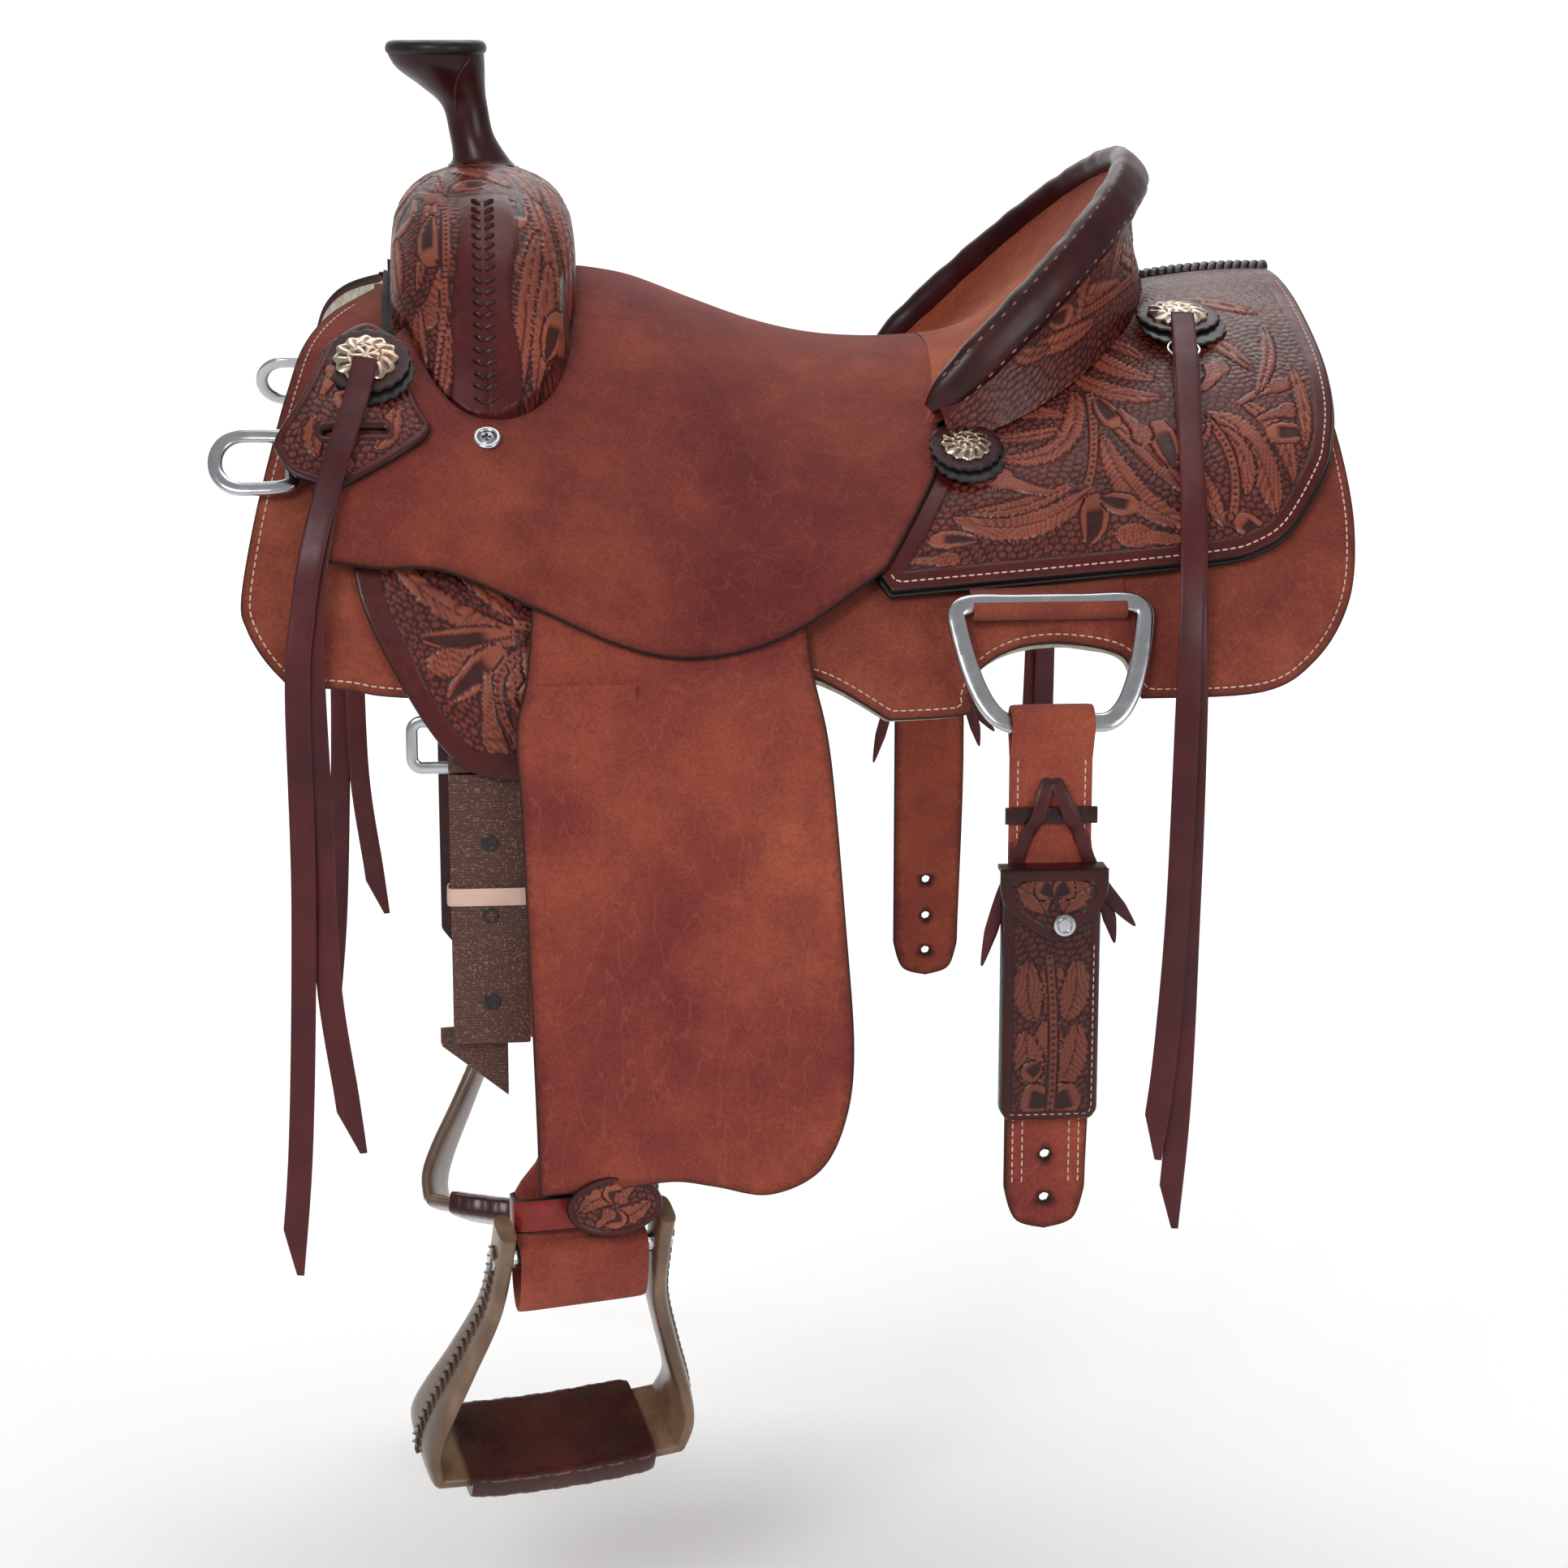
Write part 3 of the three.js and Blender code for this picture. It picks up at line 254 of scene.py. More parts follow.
def tooled(name, shade=1.0):
    """Carved leather: attribute tone is 0 on the dyed ground, 1 on tan, and below 0 on the plain border."""
    look = Look(name, 0.42, coat=0.08, spec=0.28)
    tone = look.sums("MULTIPLY_ADD", look.attribute("tone"), 0.5)
    tone.node.inputs[2].default_value = 0.5
    border, ground, tan = srgb(80, 20, 20), srgb(44, 15, 15), srgb(150, 82, 60)
    slope, brown = srgb(62, 22, 20), srgb(112, 48, 38)
    stops = [(0.0, border), (0.34, border), (0.44, ground), (0.56, slope), (0.72, brown), (1.0, tan)]
    colour = look.ramp(tone, [(at, tuple(shade * c for c in rgba[:3]) + (1,)) for at, rgba in stops])
    cloud = look.noise(30, 4)
    colour = look.mix(look.mask(cloud, 0.4, 0.7, 0.45), colour,
                      srgb(105, 36, 30), "MULTIPLY")
    colour = look.mix(look.attribute("edge"), colour, BLACK_EDGE)
    normal = look.bump(look.noise(1400, 3, 0.7), 0.12, 0.0003)
    rough = look.ramp(look.noise(160, 3), [(0.3, grey(0.26)), (0.7, grey(0.46))])
    return look.finish(colour, normal, rough)


def smooth_leather(name, main, dark, rough=0.32, coat=0.14, wide=16, grain=0.12):
    """Finished leather with a fine grain, dyed black at the cut edges."""
    look = Look(name, rough, coat=coat, spec=0.3)
    colour = look.ramp(look.noise(wide, 5, 0.6), [(0.35, dark), (0.65, main)])
    colour = look.mix(look.attribute("edge"), colour, BLACK_EDGE)
    grains = look.noise(900, 4, 0.7)
    normal = look.bump(grains, grain, 0.0004)
    normal = look.bump(look.noise(70, 3), 0.12, 0.001, normal)
    spread = look.ramp(look.noise(45, 4), [(0.3, grey(rough * 0.7)), (0.7, grey(rough * 1.35))])
    return look.finish(colour, normal, spread)


def metal(name, main, dark, rough, scratch=(40, 900, 900), dirt=0.25):
    """Worn metal, darker where the attribute tone says so: the conchos' engraving, and the seat screw's cross
    slot, where the dark is painted shade.
    """
    look = Look(name, rough, metal=1.0)
    wear = look.noise(28, 5, 0.65)
    colour = look.mix(look.mask(wear, 0.45, 0.8, dirt), main, dark)
    colour = look.mix(look.attribute("tone"), colour, srgb(28, 20, 18))
    lines = look.noise(1.0, 2, 0.5, look.stretched(scratch))
    spread = look.ramp(look.noise(120, 4), [(0.3, grey(rough * 0.7)), (0.75, grey(rough * 1.5))])
    return look.finish(colour, look.bump(lines, 0.06, 0.0002), spread)


def webbing():
    """Nylon webbing: cross ribs 1.3 mm apart, painted darker in their valleys as shade, with the light flecks
    of its warp.
    """
    look = Look("ribbed_nylon", 0.62, sheen=0.05)
    wave = look.add("ShaderNodeTexWave", bands_direction="Z", wave_profile="SIN")
    look.put(wave.inputs["Vector"], look.place)
    wave.inputs["Scale"].default_value = 245
    wave.inputs["Distortion"].default_value = 0.6
    wave.inputs["Detail"].default_value = 1
    rib = wave.outputs["Fac"]
    fleck = look.noise(1.0, 1, 0.5, look.stretched((900, 900, 780)))
    # Dark where the ribs dip and light on their crests: painted shade and painted light that follow the bump.
    colour = look.ramp(rib, [(0.15, srgb(50, 28, 24)), (0.8, srgb(116, 72, 58))])
    colour = look.mix(look.mask(fleck, 0.60, 0.66, 0.5), colour,
                      srgb(186, 146, 126))
    colour = look.mix(look.attribute("edge"), colour, srgb(84, 50, 34))
    return look.finish(colour, look.bump(rib, 0.9, 0.0007))


def wool():
    look = Look("wool_fleece", 0.95, sheen=0.8, spec=0.1)
    tuft = look.cells(150)
    colour = look.ramp(tuft, [(0.1, srgb(236, 226, 204)), (0.8, srgb(176, 160, 130))])
    normal = look.bump(look.noise(420, 6, 0.75), 1.0, 0.002)
    return look.finish(colour, look.bump(tuft, 0.8, 0.004, normal))


def rawhide():
    look = Look("rawhide", 0.36, coat=0.35)
    grain = look.noise(9, 5, 0.6, look.stretched((3, 3, 1)))
    dark, main, light = srgb(60, 40, 28), srgb(106, 78, 56), srgb(144, 116, 90)
    colour = look.ramp(grain, [(0.3, dark), (0.52, main), (0.75, light)])
    stain = look.mask(look.noise(26, 4), 0.5, 0.75, 0.6)
    colour = look.mix(stain, colour, srgb(84, 52, 36))
    colour = look.mix(look.attribute("edge"), colour, srgb(58, 38, 26))
    normal = look.bump(look.noise(90, 4), 0.3, 0.0012)
    return look.finish(colour, look.bump(look.noise(800, 3), 0.1, 0.0003, normal))


def timber():
    look = Look("tree_timber", 0.6)
    grain = look.noise(1.0, 5, 0.6, look.stretched((12, 140, 140)))
    colour = look.ramp(grain, [(0.3, srgb(140, 100, 62)), (0.7, srgb(196, 156, 108))])
    return look.finish(colour, look.bump(grain, 0.2, 0.0006))


SUEDE = suede("roughout_suede", srgb(140, 68, 54), srgb(112, 48, 48), srgb(160, 84, 62))
# The seat's suede is a darker copy of the fender suede: painted shade on the seat's upward faces.
SHADED_SEAT_SUEDE = suede("seat_suede_painted_shade", srgb(122, 57, 48), srgb(98, 41, 42), srgb(142, 72, 54))
SKIRTING = suede("skirting_suede", srgb(134, 68, 54), srgb(110, 50, 45), srgb(154, 84, 64), 9)
DISH = suede("dish_suede", srgb(150, 78, 52), srgb(128, 58, 44), srgb(168, 94, 64), 12)
TOOLED = tooled("tooled_leather")
DARK_TOOLED = tooled("dark_tooled_leather", 0.6)
MAROON = smooth_leather("maroon_leather", srgb(60, 12, 14), srgb(34, 8, 10), 0.36, 0.06)
BRIGHT = smooth_leather("hobble_leather", srgb(150, 44, 30), srgb(112, 26, 22), 0.32)
STRING = smooth_leather("string_leather", srgb(84, 26, 30), srgb(60, 16, 21), 0.42, 0.05)
TREAD = smooth_leather("tread_leather", srgb(72, 28, 24), srgb(46, 17, 16), 0.26, 0.3, 22, 0.25)
DARK = smooth_leather("black_leather", srgb(40, 35, 35), srgb(20, 17, 18), 0.42, 0.1)
LACE = smooth_leather("lacing_leather", srgb(46, 36, 32), srgb(28, 22, 20), 0.4, 0.2)
STEEL = metal("brushed_steel", srgb(196, 198, 202), srgb(140, 140, 142), 0.2)
SILVER = metal("antique_silver", srgb(206, 188, 170), srgb(176, 112, 84), 0.26, dirt=0.8)
THREAD = smooth_leather("waxed_thread", srgb(226, 196, 182), srgb(196, 158, 142), 0.6, 0.0)
FADED = smooth_leather("worn_thread", srgb(150, 118, 108), srgb(116, 84, 78), 0.6, 0.0)
NYLON = webbing()
WOOL = wool()
RAWHIDE = rawhide()
TIMBER = timber()


# ---- Meshes ----
def add(name, points, faces, body, material, nodes=(), side="left", crease=40, **marks):
    """Makes a piece from points in mm. The right side is the left one mirrored."""
    points = np.asarray(points, float) * MM * (1, SIDES[side], 1)
    if side == "right":
        faces = [f[::-1] for f in faces]
    mesh = bpy.data.meshes.new(name)
    mesh.from_pydata(points.tolist(), [], faces)
    mesh.validate()
    for mark, values in {"edge": 0.0, "tone": 0.0, **marks}.items():
        layer = mesh.attributes.new(mark, "FLOAT", "POINT")
        layer.data.foreach_set("value", np.broadcast_to(values, len(points)).astype(np.float32))
    mesh.materials.append(material)
    mesh.shade_smooth()
    mesh.set_sharp_from_angle(angle=math.radians(crease))
    obj = bpy.data.objects.new(name, mesh)
    bpy.context.scene.collection.objects.link(obj)
    if body:
        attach(obj, body)
    if nodes:
        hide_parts(*nodes)
    return obj


def both(stem, points, faces, body, material, nodes=(), **marks):
    """The same piece on both sides; names, bodies and nodes get _left or _right."""
    made = []
    for side in SIDES:
        own = body if body in ("root", None) else body + "_" + side
        own_nodes = [n + "_" + side for n in nodes]
        made.append(add(f"{stem}_{side}", points, faces, own, material, own_nodes, side, **marks))
    return made


def soft_step(t):
    """0 to 1 with a smooth start and end."""
    c = np.clip(t, 0, 1)
    return c * c * (3 - 2 * c)


def mix(a, b, t):
    return a + (b - a) * t


def unit(v):
    return v / np.maximum(np.linalg.norm(v, axis=-1, keepdims=True), 1e-9)


def xyz(x, y, z):
    """Points from coordinates that are numbers or arrays."""
    return np.stack(np.broadcast_arrays(x, y, z), axis=-1).astype(float)


def around(count):
    """Angles of a full turn."""
    return np.linspace(0, 2 * math.pi, count, endpoint=False)


def travelled(line):
    """How far each point lies along a line."""
    return np.concatenate([[0], np.cumsum(np.linalg.norm(np.diff(line, axis=0), axis=1))])


def curve(knots, per=8):
    """A smooth run through knots, with the ends kept."""
    p = np.array(knots, float)
    if len(p) < 3:
        return p
    out = []
    for i in range(len(p) - 1):
        a, b, c, d = p[max(i - 1, 0)], p[i], p[i + 1], p[min(i + 2, len(p) - 1)]
        t = (np.arange(per) / per)[:, None]
        u, v = (c - a) / 2, (d - b) / 2
        out.append((2 * b - 2 * c + u + v) * t**3 + (-3 * b + 3 * c - 2 * u - v) * t**2 + u * t + b)
    return np.vstack(out + [p[-1:]])


def outline(runs):
    """A closed outline from smooth runs that meet at corners."""
    points = np.vstack([curve(run) for run in runs])
    keep = np.linalg.norm(points - np.roll(points, 1, axis=0), axis=1) > 0.3
    return points[keep]


def resample(line, step, closed=False):
    """The same line with its points about a step apart."""
    pts = np.vstack([line, line[:1]]) if closed else np.asarray(line, float)
    run = travelled(pts)
    count = max(int(round(run[-1] / step)), 3)
    at = np.linspace(0, run[-1], count + 1)
    if closed:
        at = at[:-1]
    return np.stack([np.interp(at, run, pts[:, k]) for k in range(pts.shape[1])], axis=1)


def inside(points, ring):
    """Which points lie inside a closed ring."""
    x, y = points[:, 0], points[:, 1]
    hit = np.zeros(len(points), bool)
    for a, b in zip(ring, np.roll(ring, -1, axis=0)):
        crosses = (a[1] > y) != (b[1] > y)
        if crosses.any():
            hit ^= crosses & (x < (b[0] - a[0]) * (y - a[1]) / (b[1] - a[1] + 1e-12) + a[0])
    return hit


def away(points, ring):
    """Distance from each point to a closed ring of short segments."""
    best = np.full(len(points), 1e9)
    for a, b in zip(ring, np.roll(ring, -1, axis=0)):
        d = b - a
        t = np.clip(((points - a) @ d) / (d @ d + 1e-12), 0, 1)
        gap = points - a - t[:, None] * d
        best = np.minimum(best, (gap**2).sum(axis=1))
    return np.sqrt(best)


def inset(ring, depth):
    """The ring moved inwards, without the points that would crowd a corner."""
    ring = ring if area_of(ring) > 0 else ring[::-1]
    along = unit(np.roll(ring, -1, axis=0) - np.roll(ring, 1, axis=0))
    moved = ring + np.stack([-along[:, 1], along[:, 0]], axis=1) * depth
    return moved[away(moved, ring) > depth * 0.93]


def area_of(ring):
    x, y = ring[:, 0], ring[:, 1]
    return (x * np.roll(y, -1) - np.roll(x, -1) * y).sum() / 2


def triangulate(rings, step, rim):
    """Points and triangles inside the first ring and outside the others."""
    outer = rings[0]
    low, high = outer.min(axis=0), outer.max(axis=0)
    xs = np.arange(low[0], high[0], step)
    ys = np.arange(low[1], high[1], step * 0.87)
    grid = np.stack(np.meshgrid(xs, ys, indexing="ij"), axis=-1)
    grid[:, 1::2, 0] += step / 2
    grid = grid.reshape(-1, 2)
    grid = grid[inside(grid, outer)]
    far = np.full(len(grid), 1e9)
    for ring in rings:
        far = np.minimum(far, away(grid, ring))
    for hole in rings[1:]:
        far[inside(grid, hole)] = 0
    grid = grid[far > rim + step * 0.35]
    soft = [inset(outer, rim * 0.4), inset(outer, rim)] if rim else []
    points = np.vstack(list(rings) + soft + [grid])
    edges = []
    start = 0
    for ring in rings:
        n = len(ring)
        edges += [(start + i, start + (i + 1) % n) for i in range(n)]
        start += n
    made = delaunay_2d_cdt([Vector(p) for p in points], edges, [], 0, 1e-5)
    flat = np.array([(v.x, v.y) for v in made[0]])
    tris = np.array([f for f in made[2] if len(f) == 3])
    middle = flat[tris].mean(axis=1)
    keep = inside(middle, outer)
    for hole in rings[1:]:
        keep &= ~inside(middle, hole)
    tris = tris[keep]
    a, b, c = flat[tris[:, 0]], flat[tris[:, 1]], flat[tris[:, 2]]
    turn = (b[:, 0] - a[:, 0]) * (c[:, 1] - a[:, 1]) - (b[:, 1] - a[:, 1]) * (c[:, 0] - a[:, 0])
    tris = tris[np.abs(turn) > 1e-6]
    turn = turn[np.abs(turn) > 1e-6]
    tris[turn < 0] = tris[turn < 0][:, ::-1]
    used = np.unique(tris)
    index = np.zeros(len(flat), int)
    index[used] = np.arange(len(used))
    return flat[used], index[tris]


def panel(rings, place, top, bottom, step, rim=1.6, relief=None, dyed=1.5):
    """A sheet between two lifts with rounded, dyed edges: returns points, faces and marks.
    place(u, v, lift) gives a point in mm; relief(uv, gap) gives carved height and tone."""
    rings = [resample(r, min(step, 3.0), True) for r in rings]
    flat, tris = triangulate(rings, step, rim)
    gap = np.min([away(flat, ring) for ring in rings], axis=0)
    near = np.clip(gap, 0, rim)
    drop = rim - np.sqrt(np.maximum(rim**2 - (rim - near) ** 2, 0)) if rim else 0 * gap
    u, v = flat.T
    high = top(u, v) if callable(top) else np.full(len(u), float(top))
    low = bottom(u, v) if callable(bottom) else np.full(len(u), float(bottom))
    tone = np.zeros(len(u))
    carved = 0
    if relief is not None:
        carved, tone = relief(flat, gap)
    upper = place(u, v, high - drop + carved)
    lower = place(u, v, low + np.minimum(drop, (high - low) * 0.35))
    n = len(flat)
    faces = tris.tolist() + (tris[:, ::-1] + n).tolist()
    pairs = np.vstack([tris[:, [0, 1]], tris[:, [1, 2]], tris[:, [2, 0]]])
    keys = {tuple(p) for p in pairs.tolist()}
    for a, b in keys:
        if (b, a) not in keys:
            faces.append((b, a, a + n, b + n))
    points = np.vstack([upper, lower])
    edge = np.exp(-((gap / dyed) ** 2))
    marks = {"edge": np.concatenate([edge, edge]), "tone": np.concatenate([tone, tone * 0 - 1])}
    if volume(points, faces) < 0:
        faces = [f[::-1] for f in faces]
    return points, faces, marks


def panels(stem, body, material, nodes, *shape, **kw):
    """A panel() on both sides."""
    points, faces, marks = panel(*shape, **kw)
    return both(stem, points, faces, body, material, nodes, **marks)


def volume(points, faces):
    """Six times the volume, negative when the faces point inwards."""
    halves = [f[:3] for f in faces] + [(f[0], f[2], f[3]) for f in faces if len(f) == 4]
    a, b, c = np.asarray(points)[np.array(halves)].transpose(1, 0, 2)
    return (a * np.cross(b, c)).sum()


def loft(rings, closed=False, caps=True):
    """Quads along rings of equal length (each a closed loop of points)."""
    rings = np.asarray(rings)
    rows, cols = rings.shape[:2]
    faces = []
    for r in range(rows if closed else rows - 1):
        s = (r + 1) % rows
        for c in range(cols):
            d = (c + 1) % cols
            faces.append((r * cols + c, s * cols + c, s * cols + d, r * cols + d))
    points = rings.reshape(-1, 3)
    if caps and not closed:
        faces.append(tuple(range(cols)))
        faces.append(tuple(range((rows - 1) * cols, rows * cols))[::-1])
    fans = [f for f in faces if len(f) > 4]
    solid = [f for f in faces if len(f) <= 4]
    solid += [(f[0], f[i], f[i + 1]) for f in fans for i in range(1, len(f) - 1)]
    if volume(points, solid) < 0:
        faces = [f[::-1] for f in faces]
    return points, faces


def shell(outer, inner):
    """A closed sheet between two equal grids of points."""
    rows, cols = outer.shape[:2]
    n = rows * cols
    at = np.arange(n).reshape(rows, cols)
    faces = []
    for r in range(rows - 1):
        for c in range(cols - 1):
            q = (at[r, c], at[r + 1, c], at[r + 1, c + 1], at[r, c + 1])
            faces.append(tuple(int(k) for k in q))
            faces.append(tuple(int(k) + n for k in q[::-1]))
    rim = list(at[0, :]) + list(at[1:, -1]) + list(at[-1, :-1][::-1]) + list(at[1:-1, 0][::-1])
    for a, b in zip(rim, rim[1:] + rim[:1]):
        faces.append((int(a), int(b), int(b) + n, int(a) + n))
    points = np.vstack([outer.reshape(-1, 3), inner.reshape(-1, 3)])
    if volume(points, faces) < 0:
        faces = [f[::-1] for f in faces]
    return points, faces


def joined(parts):
    """Several (points, faces) as one."""
    points, faces, start = [], [], 0
    for p, f in parts:
        points.append(p)
        faces += [tuple(k + start for k in face) for face in f]
        start += len(p)
    return np.vstack(points), faces


def sweep(path, section, wide=None, closed=False, caps=True):
    """A section (N x 2: across, out) along a path; wide is the direction of its first axis."""
    path = np.asarray(path, float)
    if closed:
        run = unit(np.roll(path, -1, axis=0) - np.roll(path, 1, axis=0))
    else:
        run = unit(np.gradient(path, axis=0))
    wide = np.broadcast_to(np.asarray((1, 0, 0) if wide is None else wide, float), path.shape)
    wide = unit(wide - (wide * run).sum(axis=1, keepdims=True) * run)
    out = np.cross(run, wide)
    section = np.asarray(section, float)
    if section.ndim == 2:
        section = np.broadcast_to(section, (len(path),) + section.shape)
    rings = path[:, None] + wide[:, None] * section[..., :1] + out[:, None] * section[..., 1:]
    return loft(rings, closed, caps)


def oval(a, b, sides=16, power=1.0):
    """A section a by b (half sizes). A power under 1 makes it squarer."""
    t = (np.arange(sides) + 0.5) * 2 * math.pi / sides
    c, s = np.cos(t), np.sin(t)
    return np.stack([a * np.sign(c) * np.abs(c) ** power, b * np.sign(s) * np.abs(s) ** power], axis=1)


# (place along a stitch's length, share of its radius): straight in the middle, rounded at both ends
ROUND_ENDS = [(-0.5, 0.25), (-0.36, 0.85), (0, 1.0), (0.36, 0.85), (0.5, 0.25)]


def stitches(line, pitch=5.0, length=3.7, radius=0.55):
    """Thread stitches laid end to end along a line of points with small gaps between them."""
    line = resample(line, pitch)
    parts = []
    ring = oval(1, 1, 6)
    for a, b in zip(line, line[1:]):
        gap = np.linalg.norm(b - a)
        if gap > pitch * 1.8 or gap < 1e-6:
            continue
        run = (b - a) / gap
        across = unit(np.cross(run, (0.3, 1, 0.2)))
        out = np.cross(run, across)
        rows = []
        for t, r in ROUND_ENDS:
            middle = (a + b) / 2 + run * t * length
            rows.append(middle + (across * ring[:, :1] + out * ring[:, 1:]) * radius * r)
        parts.append(loft(rows))
    return joined(parts)


# ---- Carving ----
def along(points, a, b, c):
    """Nearest place on a bent line a-b-c: how far along (0 to 1), how far to the side, its length."""
    t = np.linspace(0, 1, 26)[:, None]
    a, b, c = (np.array(p, float) for p in (a, b, c))
    line = (1 - t) ** 2 * a + 2 * t * (1 - t) * b + t**2 * c
    run = travelled(line)
    best = np.full(len(points), 1e9)
    at = np.zeros(len(points))
    side = np.zeros(len(points))
    for i in range(len(line) - 1):
        d = line[i + 1] - line[i]
        k = ((points - line[i]) @ d) / (d @ d)
        k = np.clip(k, 0 if i else -3, 1 if i < len(line) - 2 else 4)
        gap = points - line[i] - k[:, None] * d
        far = np.linalg.norm(gap, axis=1)
        closer = far < best
        best = np.where(closer, far, best)
        at = np.where(closer, run[i] + k * np.linalg.norm(d), at)
        side = np.where(closer, np.sign(d[0] * gap[:, 1] - d[1] * gap[:, 0]) * far, side)
    return at / run[-1], side, run[-1]


def stroke(kind, t, s, size, width):
    """One carved motif: its half width here, its height (mm) and its tone."""
    reach = t * size
    side = np.abs(s)
    if kind == "leaf":
        half = width * np.sin(np.pi * np.clip(t, 0, 1) ** 0.72) ** 0.62 * (0.55 + 0.45 * t)
        half = half * (1 + 0.10 * np.cos(2 * np.pi * (reach - 0.8 * side) / 4.6))
        vein = 0.5 + 0.5 * np.cos(2 * np.pi * (reach - 1.15 * side) / 2.3)
        height = 0.35 + 0.30 * np.sin(np.pi * np.clip(side / (half + 0.1), 0, 1)) - 0.38 * vein**3
        tone = 0.95 - 0.62 * vein**3
        middle = side < 0.45
        height = np.where(middle, -0.15, height)
        tone = np.where(middle, 0.2, tone)
    elif kind == "petal":
        half = width * np.sqrt(np.clip(np.sin(np.pi * np.clip(t, 0, 1) ** 0.8), 0, 1))
        hollow = soft_step((half * 0.62 - side) / 0.8) * soft_step((np.clip(t, 0, 1) - 0.22) * 6)
        height = 0.45 - 0.75 * hollow
        tone = 0.92 - 0.85 * hollow
    elif kind == "acorn":
        bulb = np.sqrt(np.clip(1 - ((t - 0.78) / 0.24) ** 2, 0, 1))
        neck = 0.30 + 0.55 * np.clip(t, 0, 1)
        half = width * np.where(t > 0.6, np.maximum(bulb, 0), neck)
        half = np.where((t < 0) | (t > 1.03), 0, half)
        ribs = 0.5 + 0.5 * np.cos(2 * np.pi * s / 1.9)
        check = np.maximum(ribs, 0.5 + 0.5 * np.cos(2 * np.pi * (reach + s * 0.4) / 1.9))
        pattern = np.where(t > 0.6, check**4, ribs**4)
        height = 0.50 - 0.40 * pattern
        tone = 0.95 - 0.65 * pattern
    else:
        half = np.full(len(t), width) * np.where((t > 0) & (t < 1), 1, 0)
        bead = np.clip(1 - (np.abs((reach % 4.2) - 2.1) / 1.25) ** 2 - (s / (width * 0.52)) ** 2, 0, 1)
        height = 0.30 - 0.7 * soft_step(bead * 2)
        tone = 0.85 - 0.8 * soft_step(bead * 2)
    return half, height, tone


WIDER = {"leaf": 1.38, "petal": 1.3, "acorn": 1.3}


def carve(points, motifs):
    """Height (mm) and tone of a carved face: motifs laid over a stamped, dyed background."""
    u = points[:, 0] + 2.2 * np.sin(points[:, 1] * 0.21)
    v = points[:, 1] + 2.2 * np.sin(points[:, 0] * 0.17)
    row = np.floor(v / 4.4)
    across = ((u / 6.4 + 0.5 * row) % 1 - 0.5) * 6.4
    up = v - (row + 0.5) * 4.4
    round_gap = np.sqrt(across**2 + (1.35 * up + 0.6) ** 2)
    scale = soft_step((2.9 - round_gap) / 0.8)
    pith = soft_step((1.3 - np.abs(across) * 2.2) / 0.8) * (round_gap < 1.9)
    height = -0.42 + 0.34 * scale - 0.2 * pith
    tone = 0.02 + 0.50 * scale - 0.35 * pith
    for kind, a, b, c, width in motifs:
        width = width * WIDER.get(kind, 1.0)
        low = np.minimum(np.minimum(a, b), c) - width - 2
        high = np.maximum(np.maximum(a, b), c) + width + 2
        near = ((points > low) & (points < high)).all(axis=1)
        if not near.any():
            continue
        t, s, size = along(points[near], a, b, c)
        half, rise, shade = stroke(kind, t, s, size, width)
        inner = half - np.abs(s)
        inner = np.where((t < -0.02) | (t > 1.02), -9, inner)
        lip = soft_step(inner / 0.7)
        cover = inner > 0
        cut = (inner <= 0) & (inner > -0.9)
        h, g = height[near], tone[near]
        h = np.where(cover, mix(-0.45, rise, lip), np.where(cut, -0.55, h))
        g = np.where(cover, mix(0.02, shade, lip), np.where(cut, 0.0, g))
        height[near], tone[near] = h, g
    return height, tone


def bordered(motifs, border):
    """A relief for panel(): carving inside a plain border with a bevelled line between them."""
    def relief(flat, gap):
        height, tone = carve(flat, motifs)
        plain = soft_step((border - gap) / 0.8 + 0.5)
        line = np.exp(-(((gap - border) / 0.7) ** 2))
        height = mix(height, 0.15, plain) - 0.4 * line
        tone = mix(tone, -1.0, plain)
        return height, np.where(line > 0.5, 0.0, tone)
    return relief


# ---- The back, and layers on it ----
BACK_WIDE, BACK_HIGH = 270, 250  # half axes of the back's oval section
ARC = 260  # mm of flat leather for one radian of that section


def top_line(x):
    """The spine's height: it rises to the withers and to the croup."""
    return 16 + np.where(x < 0, 90, 50) * soft_step(np.abs(x) / 320)


def over_back(x, angle, lift):
    """A point on the near side at an angle from the spine, lifted off the back."""
    high = top_line(x) - BACK_HIGH + (BACK_HIGH + lift) * np.cos(angle)
    return np.stack(np.broadcast_arrays(x, -(BACK_WIDE + lift) * np.sin(angle), high), axis=-1)


def on_back(u, v, lift):
    """u runs along the saddle, v is the way down the near side from the spine."""
    return over_back(u, v / ARC, lift)


def to_flat(line, lift):
    """Side-view points (x, z) to (x, way down) for a layer whose lift is a number or a function."""
    line = np.asarray(line, float)
    x, z = line.T
    angle = np.full(len(x), 0.6)
    for _ in range(12):
        high = lift(x, angle) if callable(lift) else lift
        angle = np.arccos(np.clip((z - top_line(x) + BACK_HIGH) / (BACK_HIGH + high), -1, 1))
    return np.stack([x, angle * ARC], axis=1)


def flat_motifs(motifs, lift):
    """Motifs drawn in side view (x, z), moved to the flat leather (x, way down)."""
    return [(k, *(tuple(to_flat([p], lift)[0]) for p in (a, b, c)), w) for k, a, b, c, w in motifs]


def frame_at(x, z, lift):
    """Axes on the near side of the back: along, up the slope, straight out; and the point itself."""
    angle = to_flat([(x, z)], lift)[0, 1] / ARC
    origin = over_back(x, angle, lift)
    up = unit(over_back(x, angle - 0.01, lift) - over_back(x, angle + 0.01, lift))
    along_x = np.array([1.0, 0, 0])
    return origin, along_x, up, np.cross(along_x, up)


